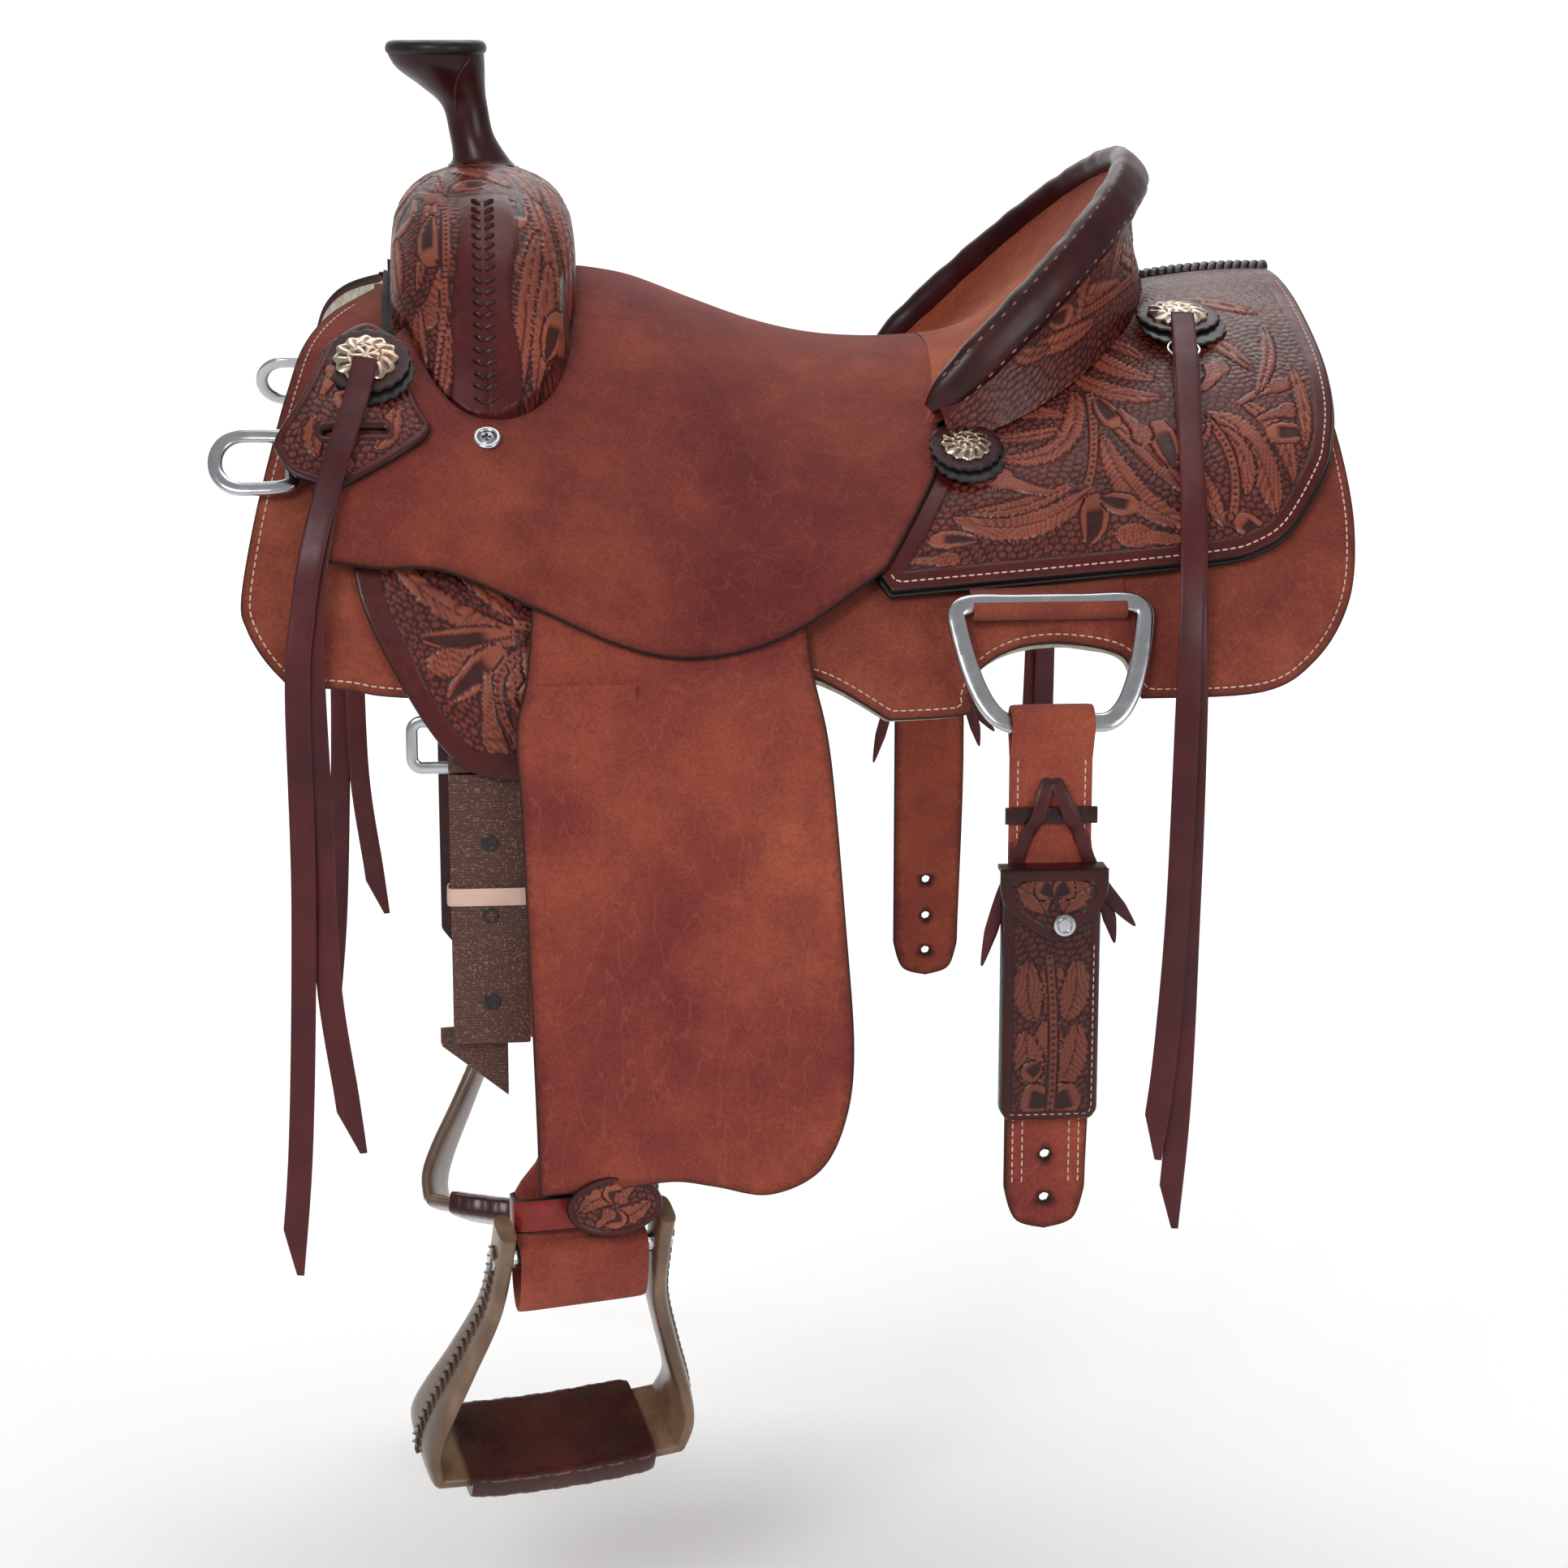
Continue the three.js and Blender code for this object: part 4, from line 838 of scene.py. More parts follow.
SKIRT_RUNS = [
    [[-256, 95], [-281, 84], [-297, 68], [-306, 44], [-314, 16], [-325, -28], [-333, -73], [-330, -90],
     [-320, -108], [-306, -124]],
    [[-306, -124], [-270, -127], [-239, -132], [-120, -138], [-40, -128], [8, -128], [54, -153]],
    [[54, -153], [101, -150], [103, -139]],
    [[103, -139], [113, -122], [136, -111], [166, -109], [197, -116], [203, -133]],
    [[203, -133], [208, -141]],
    [[208, -141], [282, -138], [316, -119], [338, -86], [346, -46], [346, -2], [342, 40], [332, 78]],
]
SPINE_GAP = 46


def opened(line):
    """A ring that has lost some points, started where its gap ends."""
    start = np.argmax(np.linalg.norm(line - np.roll(line, 1, axis=0), axis=1))
    return np.roll(line, -start, axis=0)


def skirts():
    """The two skirts, their stitching, and the fleece with its uneven pile."""
    lower = to_flat(outline(SKIRT_RUNS), 5)
    lower = lower[lower[:, 1] > SPINE_GAP]
    ring = np.vstack([lower, [[300, SPINE_GAP], [0, SPINE_GAP], [-256, SPINE_GAP]]])
    panels("skirt_leather", "root", SKIRTING, ["skirt"], [ring], on_back, 5, 0.4, 7)
    line = inset(resample(ring, 2.0, True), 5.5)
    line = opened(line[line[:, 1] > 95])
    both("skirt_stitching", *stitches(on_back(*line.T, 5.2)), "root", THREAD)
    rng = np.random.default_rng(7)
    waves = rng.uniform(-0.35, 0.35, (24, 2))
    phase = rng.uniform(0, 6.28, 24)

    def pile(u, v):
        wool = sum(np.sin(u * a + v * b + p) for (a, b), p in zip(waves, phase)) / 24
        return -13.4 + 3.0 * wool

    inner = inset(resample(ring, 3.0, True), 1.0)
    both("skirt_fleece", *panel([inner], on_back, -0.5, pile, 4.5, 1.2)[:2], "root", WOOL, ["fleece"])


RIGGING_RUNS = [
    [[-268, -30], [-262, -75], [-236, -130], [-212, -166], [-190, -180], [-150, -182], [-110, -172],
     [-70, -140], [-40, -100], [-30, -60]],
    [[-30, -60], [-268, -30]],
]
RIGGING_MOTIFS = [
    ("leaf", (-170, -95), (-215, -90), (-248, -45), 8), ("leaf", (-168, -88), (-190, -72), (-214, -45), 7),
    ("leaf", (-160, -80), (-180, -70), (-190, -48), 6), ("petal", (-172, -97), (-205, -102), (-228, -96), 6),
    ("acorn", (-172, -100), (-200, -108), (-222, -114), 6),
    ("petal", (-178, -104), (-200, -122), (-212, -134), 6),
    ("stem", (-150, -104), (-206, -110), (-166, -166), 3),
    ("stem", (-120, -92), (-150, -96), (-172, -90), 3),
    ("leaf", (-150, -112), (-190, -118), (-158, -156), 5),
    ("acorn", (-160, -125), (-168, -118), (-158, -108), 6),
    ("acorn", (-188, -118), (-190, -150), (-180, -170), 6),
    ("petal", (-150, -128), (-172, -132), (-160, -142), 6),
    ("leaf", (-150, -82), (-120, -96), (-90, -110), 7),
    ("leaf", (-140, -110), (-110, -128), (-100, -150), 7),
]


def rigging_plates():
    """The carved rigging plates between skirt and fender."""
    ring = to_flat(outline(RIGGING_RUNS), 10)
    relief = bordered(flat_motifs(RIGGING_MOTIFS, 10), 15)
    panels("rigging_leather", "root", TOOLED, ["rigging_plate"], [ring], on_back, 10.4, 6, 1.6, relief=relief)


# ---- Seat ----
SEAT_LINE = [[-122, 103], [-90, 97], [-48, 81], [-9, 67], [30, 58], [69, 55], [102, 56]]
JOCKEY, LEATHER = 24, 4.5  # how far the seat jockeys lie over the back, and their thickness
CUTOUT = [[-128, 104], [-131, 78], [-141, 52], [-160, 34], [-188, 27], [-207, 36], [-222, 55], [-234, 80]]
seat_curve = curve(SEAT_LINE, 12)


def seat_lift(x, angle):
    """The seat's top over the back: the side-view line in the middle, flat jockeys at the sides."""
    middle = np.maximum(np.interp(x, seat_curve[:, 0], seat_curve[:, 1]) - top_line(x), JOCKEY - 2)
    side = np.cos(np.minimum(np.abs(angle) / math.radians(50), 1) * math.pi / 2) ** 2
    return mix(JOCKEY, middle, side)


SEAT_RUNS = [
    CUTOUT,
    [[-234, 80], [-244, 72], [-262, 66], [-286, 61]],
    [[-286, 61], [-292, 41], [-291, 0], [-284, -49]],
    [[-284, -49], [-250, -54], [-212, -57], [-159, -80], [-114, -101], [-78, -111], [-40, -110], [-1, -98],
     [49, -68], [61, -56], [82, -26], [96, -4]],
    [[96, -4], [98, 20], [104, 52]],
]


def rim(angle):
    """The cantle's rim, from the near end (-90 degrees) over the top to the far end."""
    c = np.cos(angle)
    return np.stack([95 + 146 * c, 160 * np.sin(angle), 29 + 138 * c], axis=-1)


def dish_grid(drop, turns=90, steps=30):
    """The hollow front of the cantle, from its rim down into the seat, sunk by drop."""
    angle = np.linspace(-math.pi / 2, math.pi / 2, turns)
    c, s = np.cos(angle), np.sin(angle)
    outward = np.stack([c, s, 0 * c], axis=-1)
    top = rim(angle) - 6 * outward
    foot_x = mix(84, 104, c)
    foot_angle = -np.arcsin(150 * s / (BACK_WIDE + JOCKEY))
    foot = over_back(foot_x, foot_angle, seat_lift(foot_x, foot_angle) + 0.3)
    corner = np.stack([top[:, 0] - 55 * c, top[:, 1] * 0.93, mix(top[:, 2], foot[:, 2], 0.97)], axis=-1)
    t = np.linspace(0, 1, steps)[None, :, None]
    grid = (1 - t) ** 2 * top[:, None] + 2 * t * (1 - t) * corner[:, None] + t**2 * foot[:, None]
    grid = grid + outward[:, None] * 0.75 * drop * (1 - t)
    grid[..., 2] -= (drop * (0.66 + 0.34 * t))[..., 0]
    return grid


def seat():
    """The seat leather with both side jockeys in one piece, and the dish of the cantle."""
    side = to_flat(outline(SEAT_RUNS), seat_lift)
    ring = np.vstack([[[-122, 0.0]], side, [[104, 0.0]], side[::-1] * (1, -1)])
    lift = lambda u, v: seat_lift(u, v / ARC)
    points, faces, marks = panel([ring], on_back, lift, lambda u, v: lift(u, v) - LEATHER, 6, 1.9, dyed=1.9)
    marks["edge"] = np.where((points[:, 0] > 96) & (np.abs(points[:, 1]) < 150), 0.0, marks["edge"])
    # The seat and jockeys take the darker seat suede, which is painted shade.
    add("seat_and_jockeys", points, faces, "root", SHADED_SEAT_SUEDE, ["seat_leather"], **marks)
    points, faces = shell(dish_grid(0), dish_grid(3.5))
    add("seat_dish", points, faces, "root", DISH)


def binding():
    """The rolled cantle binding, with the running stitches along its two edges."""
    most = math.radians(92)
    angle = np.linspace(-most, most, 121)
    path = rim(angle)
    run = unit(rim(angle + 0.01) - rim(angle - 0.01))
    up = np.array([-0.69, 0, 0.725])
    spread = -unit(np.cross(np.cross(np.broadcast_to(up, run.shape), run), run))
    flat = np.cross(run, spread)
    end = np.sqrt(np.maximum(1 - np.abs(angle / most) ** 16, 0.08))
    ring = oval(14.5, 8.5, 28, 0.82)
    sag = 1 + 0.02 * np.sin(angle * 31) + 0.015 * np.sin(angle * 53)
    section = ring[None] * (end * sag)[:, None, None]
    rings = path[:, None] + spread[:, None] * section[..., :1] + flat[:, None] * section[..., 1:]
    points, faces = loft(rings)
    add("cantle_roll", points, faces, "root", MAROON, ["cantle_binding"])
    for name, across, deep in (("inner", -10.6, 6.4), ("outer", 10.2, 6.6)):
        line = path + spread * across + flat * deep
        add(f"cantle_stitches_{name}", *stitches(line[3:-3], 10.5, 3.6, 0.7), "root", FADED)


# ---- Rear jockeys and the back of the cantle ----
REAR_JOCKEY_RUNS = [
    [[50, -66.5], [62.5, -54.5], [83.5, -25], [98, -2]],
    [[98, -2], [120, 12], [150, 30], [185, 52], [212, 76]],
    [[341, 84], [344, 55], [342, 30], [336, 8], [329, -8], [304, -40], [282, -53], [255, -59], [156, -69],
     [58, -78]],
    [[58, -78], [50, -66.5]],
]
JOCKEY_MOTIFS = [
    ("leaf", (187, -18), (146, -53), (98, -37), 8.5), ("leaf", (176, -16), (143, -34), (107, -34), 5),
    ("leaf", (195, 10), (202, -34), (247, -40), 8), ("leaf", (202, 16), (219, 5), (243, -23), 6.5),
    ("leaf", (182, 44), (202, 28), (239, 31), 6.5), ("leaf", (191, 64), (200, 44), (236, 40), 7),
    ("leaf", (206, 61), (221, 58), (232, 51), 4.5), ("leaf", (282, 30), (310, 16), (308, -16), 6),
    ("leaf", (260, 22), (291, 19), (295, -35), 9), ("leaf", (265, 16), (286, 2), (278, -23), 6),
    ("acorn", (282, 28), (299, 36), (318, 40), 5), ("acorn", (291, 19), (304, 24), (319, 25), 5),
    ("petal", (295, 12), (308, 12), (323, 12), 6), ("leaf", (256, 82), (282, 84), (312, 76), 6),
    ("leaf", (256, 66), (282, 64), (297, 45), 6), ("acorn", (258, 35), (267, 36), (277, 51), 7),
    ("acorn", (245, -48), (221, -48), (197, -44), 6), ("petal", (184, -23), (187, -40), (178, -51), 7),
    ("petal", (212, -30), (200, -28), (189, -25), 5.5), ("acorn", (68, -61), (83, -61), (100, -60), 4),
    ("petal", (83, -50), (100, -48), (113, -49), 4.5), ("leaf", (176, 19), (156, 24), (132, 16), 5.5),
    ("leaf", (176, 14), (158, 8), (132, 6), 5), ("leaf", (184, 33), (182, -9), (130, -4), 7.5),
    ("acorn", (158, -22), (143, -21), (122, -12), 6), ("petal", (120, -18), (111, -12), (105, -6), 5),
    ("stem", (193, 32), (191, -2), (182, -18), 2.8), ("stem", (260, 19), (280, -2), (267, -37), 2.8),
    ("petal", (228, 18), (234, 5), (236, -8), 6.5), ("leaf", (312, 70), (314, 54), (295, 33), 5),
    ("acorn", (218, 77), (208, 70), (202, 58), 6), ("acorn", (157, 22), (168, 33), (176, 44), 5.5),
    ("petal", (206, 14), (200, 22), (196, 30), 5), ("acorn", (208, 24), (217, 16), (222, 6), 5),
    ("petal", (270, -34), (278, -42), (288, -45), 5.5), ("leaf", (240, -6), (252, 6), (262, 18), 6),
    ("leaf", (262, -40), (254, -20), (244, -2), 6), ("leaf", (320, 50), (326, 30), (318, 2), 4.5),
]


def back_lift(angle):
    """The top of the rear jockeys over the back: higher along the spine."""
    return 22 + 12 * np.cos(np.minimum(np.abs(angle) / math.radians(30), 1) * math.pi / 2) ** 2


def jockey_under(angle):
    """The rear jockey's underside: it comes down onto the skirt below the bars of the tree."""
    return mix(back_lift(angle) - 5, 13.5, soft_step((angle - math.radians(40)) / math.radians(16)))


def rear_jockeys():
    """The carved rear jockeys, their stitching and black lining, and the lacing along the spine."""
    lift = lambda x, a: jockey_under(a) + LEATHER
    runs = [to_flat(curve(run), lift) for run in REAR_JOCKEY_RUNS]
    ring = np.vstack([runs[0], runs[1], [[226, 1.0], [336, 1.0]], runs[2], runs[3]])
    ring = ring[np.linalg.norm(ring - np.roll(ring, 1, axis=0), axis=1) > 0.3]
    top = lambda u, v: jockey_under(v / ARC) + LEATHER
    under = lambda u, v: jockey_under(v / ARC)
    relief = bordered(flat_motifs(JOCKEY_MOTIFS, lift), 12.5)
    panels("rear_jockey_leather", "root", TOOLED, ["rear_jockey"], [ring], on_back, top, under, 1.25, 1.8,
           relief, 1.3)
    line = inset(resample(ring, 2.0, True), 5.5)
    line = opened(line[(line[:, 1] > 40) & ~((line[:, 0] < 200) & (line[:, 1] < 240))])
    both("rear_jockey_stitching", *stitches(on_back(*line.T, top(*line.T) + 0.3)), "root", THREAD)
    lining = inset(resample(ring, 3.0, True), -1.6)
    lining = lining[lining[:, 1] > 60]
    upper, lower = lambda u, v: under(u, v) - 0.4, lambda u, v: under(u, v) - 4.2
    both("rear_jockey_lining", *panel([lining], on_back, upper, lower, 7, 1.2)[:2], "root", DARK, edge=1.0)
    core_x = np.linspace(238, 338, 30)
    ridge = xyz(core_x, 0, top_line(core_x) + back_lift(0) - 1)
    parts = [sweep(ridge, oval(3.2, 3.4, 10), (0, 1, 0))]
    for x in np.arange(240, 337, 5.6):
        t = np.linspace(-1, 1, 9)
        across = xyz(x + 3.6 * t, 8.5 * t, top_line(x) + back_lift(0) + 3.4 - 4.6 * t**2)
        parts.append(sweep(across, oval(2.3, 1.0, 10), (1, -0.4, 0)))
    add("spine_lacing", *joined(parts), "root", LACE)


CANTLE_MOTIFS = [
    ("leaf", (6, 52), (30, 34), (58, 12), 8), ("leaf", (30, 58), (62, 50), (92, 20), 7),
    ("petal", (8, 20), (22, 20), (38, 14), 6), ("leaf", (96, 40), (78, 30), (70, 10), 6),
    ("petal", (98, 20), (108, 16), (118, 12), 5), ("leaf", (84, 48), (112, 46), (136, 20), 6.5),
    ("stem", (20, 62), (80, 62), (150, 30), 2.6), ("acorn", (136, 40), (130, 28), (128, 14), 5.5),
    ("petal", (140, 30), (150, 26), (160, 18), 5), ("leaf", (120, 50), (150, 44), (176, 22), 5.5),
    ("acorn", (60, 62), (52, 56), (44, 44), 5), ("leaf", (162, 34), (176, 30), (188, 14), 4.5),
    ("acorn", (4, 64), (2, 50), (6, 34), 5),
]


def normals(grid):
    return unit(np.cross(np.gradient(grid, axis=0), np.gradient(grid, axis=1)))


def bare_inside(tone):
    """The tone of a shell whose inner face isn't carved."""
    return np.concatenate([tone.ravel(), tone.ravel() * 0 - 1])


def cantle_back():
    """The carved leather behind the cantle, from the rim down to the rear jockeys."""
    turns, steps = 340, 64
    angle = np.linspace(-math.radians(90), math.radians(90), turns)
    c, s = np.cos(angle), np.sin(angle)
    outward = np.stack([c, s, 0 * c], axis=-1)
    top = rim(angle) + 4 * outward
    foot_angle = -np.arcsin(166 * s / (BACK_WIDE + JOCKEY))
    foot = over_back(104 + 146 * c, foot_angle, back_lift(foot_angle) + 1.0)
    t = np.linspace(0, 1, steps)[None, :, None]
    hollow = 5 * np.sin(math.pi * t) * c[:, None, None]
    grid = top[:, None] * (1 - t) + foot[:, None] * t - outward[:, None] * hollow
    tall = np.linalg.norm(foot - top, axis=1)
    flat = np.stack(np.broadcast_arrays(np.abs(angle)[:, None] * 150, t[..., 0] * tall[:, None]), axis=-1)
    height, tone = carve(flat.reshape(-1, 2), CANTLE_MOTIFS)
    height, tone = height.reshape(turns, steps), tone.reshape(turns, steps)
    plain = soft_step((13 - flat[..., 1]) / 1.5)
    height, tone = mix(height, 0, plain), mix(tone, -1, plain)
    normal = normals(grid)
    normal = normal * np.sign((normal * outward[:, None]).sum())
    points, faces = shell(grid + normal * height[..., None], grid - normal * 3.5)
    add("cantle_back_leather", points, faces, "root", TOOLED, ["cantle_back"], tone=bare_inside(tone))


# ---- Swell and horn ----
SWELL_X = -186
ARCH = [[0, 170], [-50, 168], [-95, 155], [-132, 130], [-160, 95], [-182, 62], [-201, 27], [-208, 12]]
SWELL_MOTIFS = [
    ("leaf", (-214, 56), (-221, 137), (-227, 176), 5), ("petal", (-238, 114), (-236, 95), (-231, 73), 6),
    ("acorn", (-211, 160), (-216, 186), (-224, 204), 6), ("leaf", (-238, 174), (-241, 137), (-241, 108), 4),
    ("petal", (-218, 160), (-223, 137), (-218, 112), 5), ("leaf", (-216, 33), (-231, 30), (-240, 60), 6),
    ("leaf", (-222, 235), (-229, 212), (-226, 188), 4), ("stem", (-214, 46), (-203, 155), (-217, 246), 2.5),
    ("leaf", (-208, 205), (-208, 238), (-217, 262), 4), ("petal", (-165, 131), (-162, 114), (-163, 95), 5),
    ("acorn", (-155, 129), (-158, 152), (-163, 170), 5), ("leaf", (-167, 46), (-145, 118), (-140, 193), 5),
    ("leaf", (-151, 129), (-162, 193), (-166, 256), 6), ("leaf", (-145, 155), (-149, 203), (-156, 250), 6),
    ("leaf", (-151, 36), (-131, 108), (-134, 160), 5), ("petal", (-140, 190), (-145, 212), (-149, 227), 5),
    ("leaf", (-209, 36), (-187, 60), (-167, 84), 8), ("leaf", (-207, 20), (-182, 7), (-160, 30), 7),
    ("leaf", (-175, 50), (-160, 46), (-150, 95), 6), ("petal", (-203, 82), (-194, 84), (-182, 80), 7),
    ("leaf", (-228, 2), (-205, 6), (-190, 14), 6), ("acorn", (-150, 4), (-142, 18), (-138, 40), 6),
    ("acorn", (-226, 68), (-222, 84), (-212, 98), 5), ("leaf", (-170, 6), (-160, 2), (-148, 14), 5),
]
PANEL_TOP = 96
MIDDLE = 55  # the column of the swell's grid that runs over its crown


def swell():
    """The carved swell: an arch rounded fore and aft, with a plain laced panel down each side."""
    half_line = curve(ARCH, 40)
    count = len(half_line) - 1
    y = np.concatenate([half_line[::-1, 0], -half_line[1:, 0]])
    z = np.concatenate([half_line[::-1, 1], half_line[1:, 1]])
    away_from_top = np.abs(np.arange(-count, count + 1)) / count
    run = unit(np.stack([np.gradient(y), np.gradient(z)], axis=1))
    out = np.stack([-run[:, 1], run[:, 0]], axis=1)
    reach = travelled(np.stack([y, z], axis=1))
    reach = np.abs(reach - reach[count])
    half = mix(59, 20, soft_step((away_from_top - 0.55) / 0.5))[:, None]
    deep = mix(52, 12, soft_step((away_from_top - 0.35) / 0.65))[:, None]
    v = np.linspace(-math.pi / 2, math.pi / 2, 2 * MIDDLE + 1)[None]
    drop = deep * (1 - np.cos(v) ** 0.75)
    x = SWELL_X + half * np.sin(v)
    grid = np.stack([x, y[:, None] - out[:, :1] * drop, z[:, None] - out[:, 1:] * drop], axis=-1)
    flat = np.stack([x, np.broadcast_to(reach[:, None], x.shape)], axis=-1)
    height, tone = carve(flat.reshape(-1, 2), SWELL_MOTIFS)
    height, tone = height.reshape(x.shape), tone.reshape(x.shape)
    fore = -203 - 3 * np.sin(flat[..., 1] / 26) - 8 * soft_step((flat[..., 1] - 215) / 60)
    aft = -167 + 3 * np.sin(flat[..., 1] / 17)
    inner = np.minimum(np.minimum(x - fore, aft - x), (flat[..., 1] - PANEL_TOP) * 0.8)
    plain = soft_step(inner / 1.6 + 0.5)
    line = np.exp(-((inner / 0.9) ** 2))
    height = mix(height, 0.2, plain) - 0.5 * line
    tone = np.where(line > 0.55, 0.0, mix(tone, -1, plain))
    seam = np.exp(-(((x + 185) / 0.8) ** 2)) * soft_step((flat[..., 1] - PANEL_TOP - 8) / 4)
    height = height - 0.8 * seam
    tone = np.where(seam > 0.5, -0.2, tone)
    ends = np.abs(v) > math.radians(86)
    tone = np.where(ends, 0.0, tone)
    normal = normals(grid)
    normal = normal * np.sign(normal[count, MIDDLE, 2])
    outer = press(grid + normal * height[..., None])
    y_in, z_in = grid[..., 1] - out[:, :1] * 3.5, grid[..., 2] - out[:, 1:] * 3.5
    inner_side = press(np.stack([SWELL_X + (x - SWELL_X) * (1 - 2 / half), y_in, z_in], axis=-1), 3.5)
    outer[..., 0] = np.clip(outer[..., 0], SWELL_X - half - 0.4, SWELL_X + half + 0.4)
    add("swell_leather", *shell(outer, inner_side), "root", TOOLED, ["swell_cover"], tone=bare_inside(tone))
    lumps = []
    for s in np.arange(PANEL_TOP + 14, 262, 8.2):
        k = count - int(np.argmin(np.abs(reach[count:] - s)))
        upper = count - int(np.argmin(np.abs(reach[count:] - s + 3.6)))
        aside = max(2, round(6.5 / half[k, 0] / math.pi * 110))
        for lean in (-1, 1):
            a = outer[k, MIDDLE + lean] + normal[k, MIDDLE] * 0.3
            b = outer[upper, MIDDLE + lean * aside] + normal[upper, MIDDLE] * 0.3
            middle = (a + b) / 2 + normal[k, MIDDLE] * 0.7
            lumps.append(sweep(curve([a, middle, b], 4), oval(1.5, 0.8, 8), (0, 0, 1)))
    both("swell_lacing", *joined(lumps), "root", MAROON)


def press(grid, less=0.0):
    """Leather outside the seat's cut-out is pressed down under the seat."""
    x, y, z = grid[..., 0], grid[..., 1], grid[..., 2]
    window = np.vstack([curve(CUTOUT), [[-262, 100], [-262, 200], [-117, 200], [-117, 105]]])
    side_view = np.stack([x, z], axis=-1).reshape(-1, 2)
    within = inside(side_view, window)
    gap = away(side_view, window)
    gap = np.where(within, gap, -gap).reshape(x.shape)
    centre = top_line(x) - BACK_HIGH
    low, high = np.full(x.shape, -60.0), np.full(x.shape, 220.0)
    for _ in range(30):
        mid = (low + high) / 2
        outside = (y / (BACK_WIDE + mid)) ** 2 + ((z - centre) / (BACK_HIGH + mid)) ** 2 > 1
        low, high = np.where(outside, mid, low), np.where(outside, high, mid)
    lift = (low + high) / 2
    angle = np.arctan2(-y / (BACK_WIDE + lift), (z - centre) / (BACK_HIGH + lift))
    capped = np.minimum(lift, 17.5 - less + 6.0 * np.maximum(gap, 0))
    return np.where((z < 118)[..., None], over_back(x, angle, capped), grid)


def horn():
    """The wrapped neck with its seam, and the flat cap."""
    neck = curve([[169, -186, 22], [174, -186.5, 18], [189, -192, 14.4], [207, -196, 14.8], [219, -203, 20.5],
                  [231, -211, 28.5], [239.8, -214, 31.2]], 10)
    turn = around(48)
    rings = [xyz(x + r * np.cos(turn), r * np.sin(turn), z) for z, x, r in neck]
    add("horn_wrap", *loft(rings), "root", MAROON, ["horn_cover"])
    t = np.linspace(0, 1, 20)
    z = mix(204, 237, t)
    r = np.interp(z, neck[:, 0], neck[:, 2]) + 0.3
    x = np.interp(z, neck[:, 0], neck[:, 1])
    a = np.radians(mix(-118, -48, t))
    seam = xyz(x + r * np.cos(a), r * np.sin(a), z)
    both("horn_seam", *sweep(seam, oval(0.9, 0.9, 8), (0, 0, 1)), "root", STRING)
    profile = [(0, -5), (24, -5), (30.5, -4.6), (32.6, -2.4), (33, 0), (32.4, 2.6), (30.4, 4.4), (27, 5),
               (26.4, 4.6), (25.4, 5), (12, 5), (0, 5)]
    rings = [xyz(-214 + r * np.cos(turn), r * np.sin(turn), 244.0 + z) for r, z in profile]
    add("horn_top", *loft(rings, caps=False), "root", DARK, ["horn_cap"])


# ---- Conchos, screws and rings ----
def facing(x, z, level):
    """A place() for a small flat piece, square to the back's side at a side-view point of that lift."""
    origin, along_x, up, out = frame_at(x, z, level)
    origin = origin - level * out
    return lambda u, v, lift: (origin + np.multiply.outer(u, along_x) + np.multiply.outer(v, up)
                               + np.multiply.outer(lift + 0 * np.asarray(u), out))


def scallops(radius, deep, count):
    """A round outline with a scalloped edge."""
    t = around(count * 10)
    r = radius + deep * np.abs(np.cos(t * count / 2)) - deep
    return np.stack([r * np.cos(t), r * np.sin(t)], axis=1)


def medal(stem, place, lift, radius, petals, nodes):
    """An engraved silver disc with a lobed rim."""
    r = np.linspace(0.02, 1, 34)[:, None]
    t = around(120)[None]
    lobe = 1 + 0.05 * np.cos(petals * t)
    height = 4.2 * np.sqrt(np.clip(1 - (r * 0.96) ** 2, 0, 1))
    leaf = np.cos(petals * t + 5 * r) * np.sin(math.pi * np.clip((r - 0.5) / 0.45, 0, 1))
    inner = np.cos(petals / 2 * t - 4 * r) * np.sin(math.pi * np.clip((r - 0.1) / 0.36, 0, 1))
    ringed = np.exp(-(((r - 0.48) / 0.025) ** 2))
    relief = leaf + 0.7 * inner
    height = height + 0.45 * relief - 0.5 * ringed
    tone = np.clip(soft_step((-relief - 0.05) * 3) * 0.8 + ringed * 0.8, 0, 0.85)
    u, v = radius * r * lobe * np.cos(t), radius * r * lobe * np.sin(t)
    top = place(u, v, lift + height)
    under = place(u[-1:], v[-1:], np.full_like(u[-1:], lift - 0.4))
    rings = np.concatenate([top, under])
    points, faces = loft(rings)
    marks = np.concatenate([tone.ravel(), np.zeros(120)])
    both(stem, points, faces, "root", SILVER, nodes, tone=marks)


CONCHOS = {  # x, z, lift, radius, and the lift of what lies under it
    "front_concho": (-258, 62, 33.7, 19, 30.2),
    "rear_concho": (259, 77, 30.5, 19, 26),
    "seat_concho": (111, 4, 29, 15, 24.6),
}
SCREW = (-186, 15)  # x, z


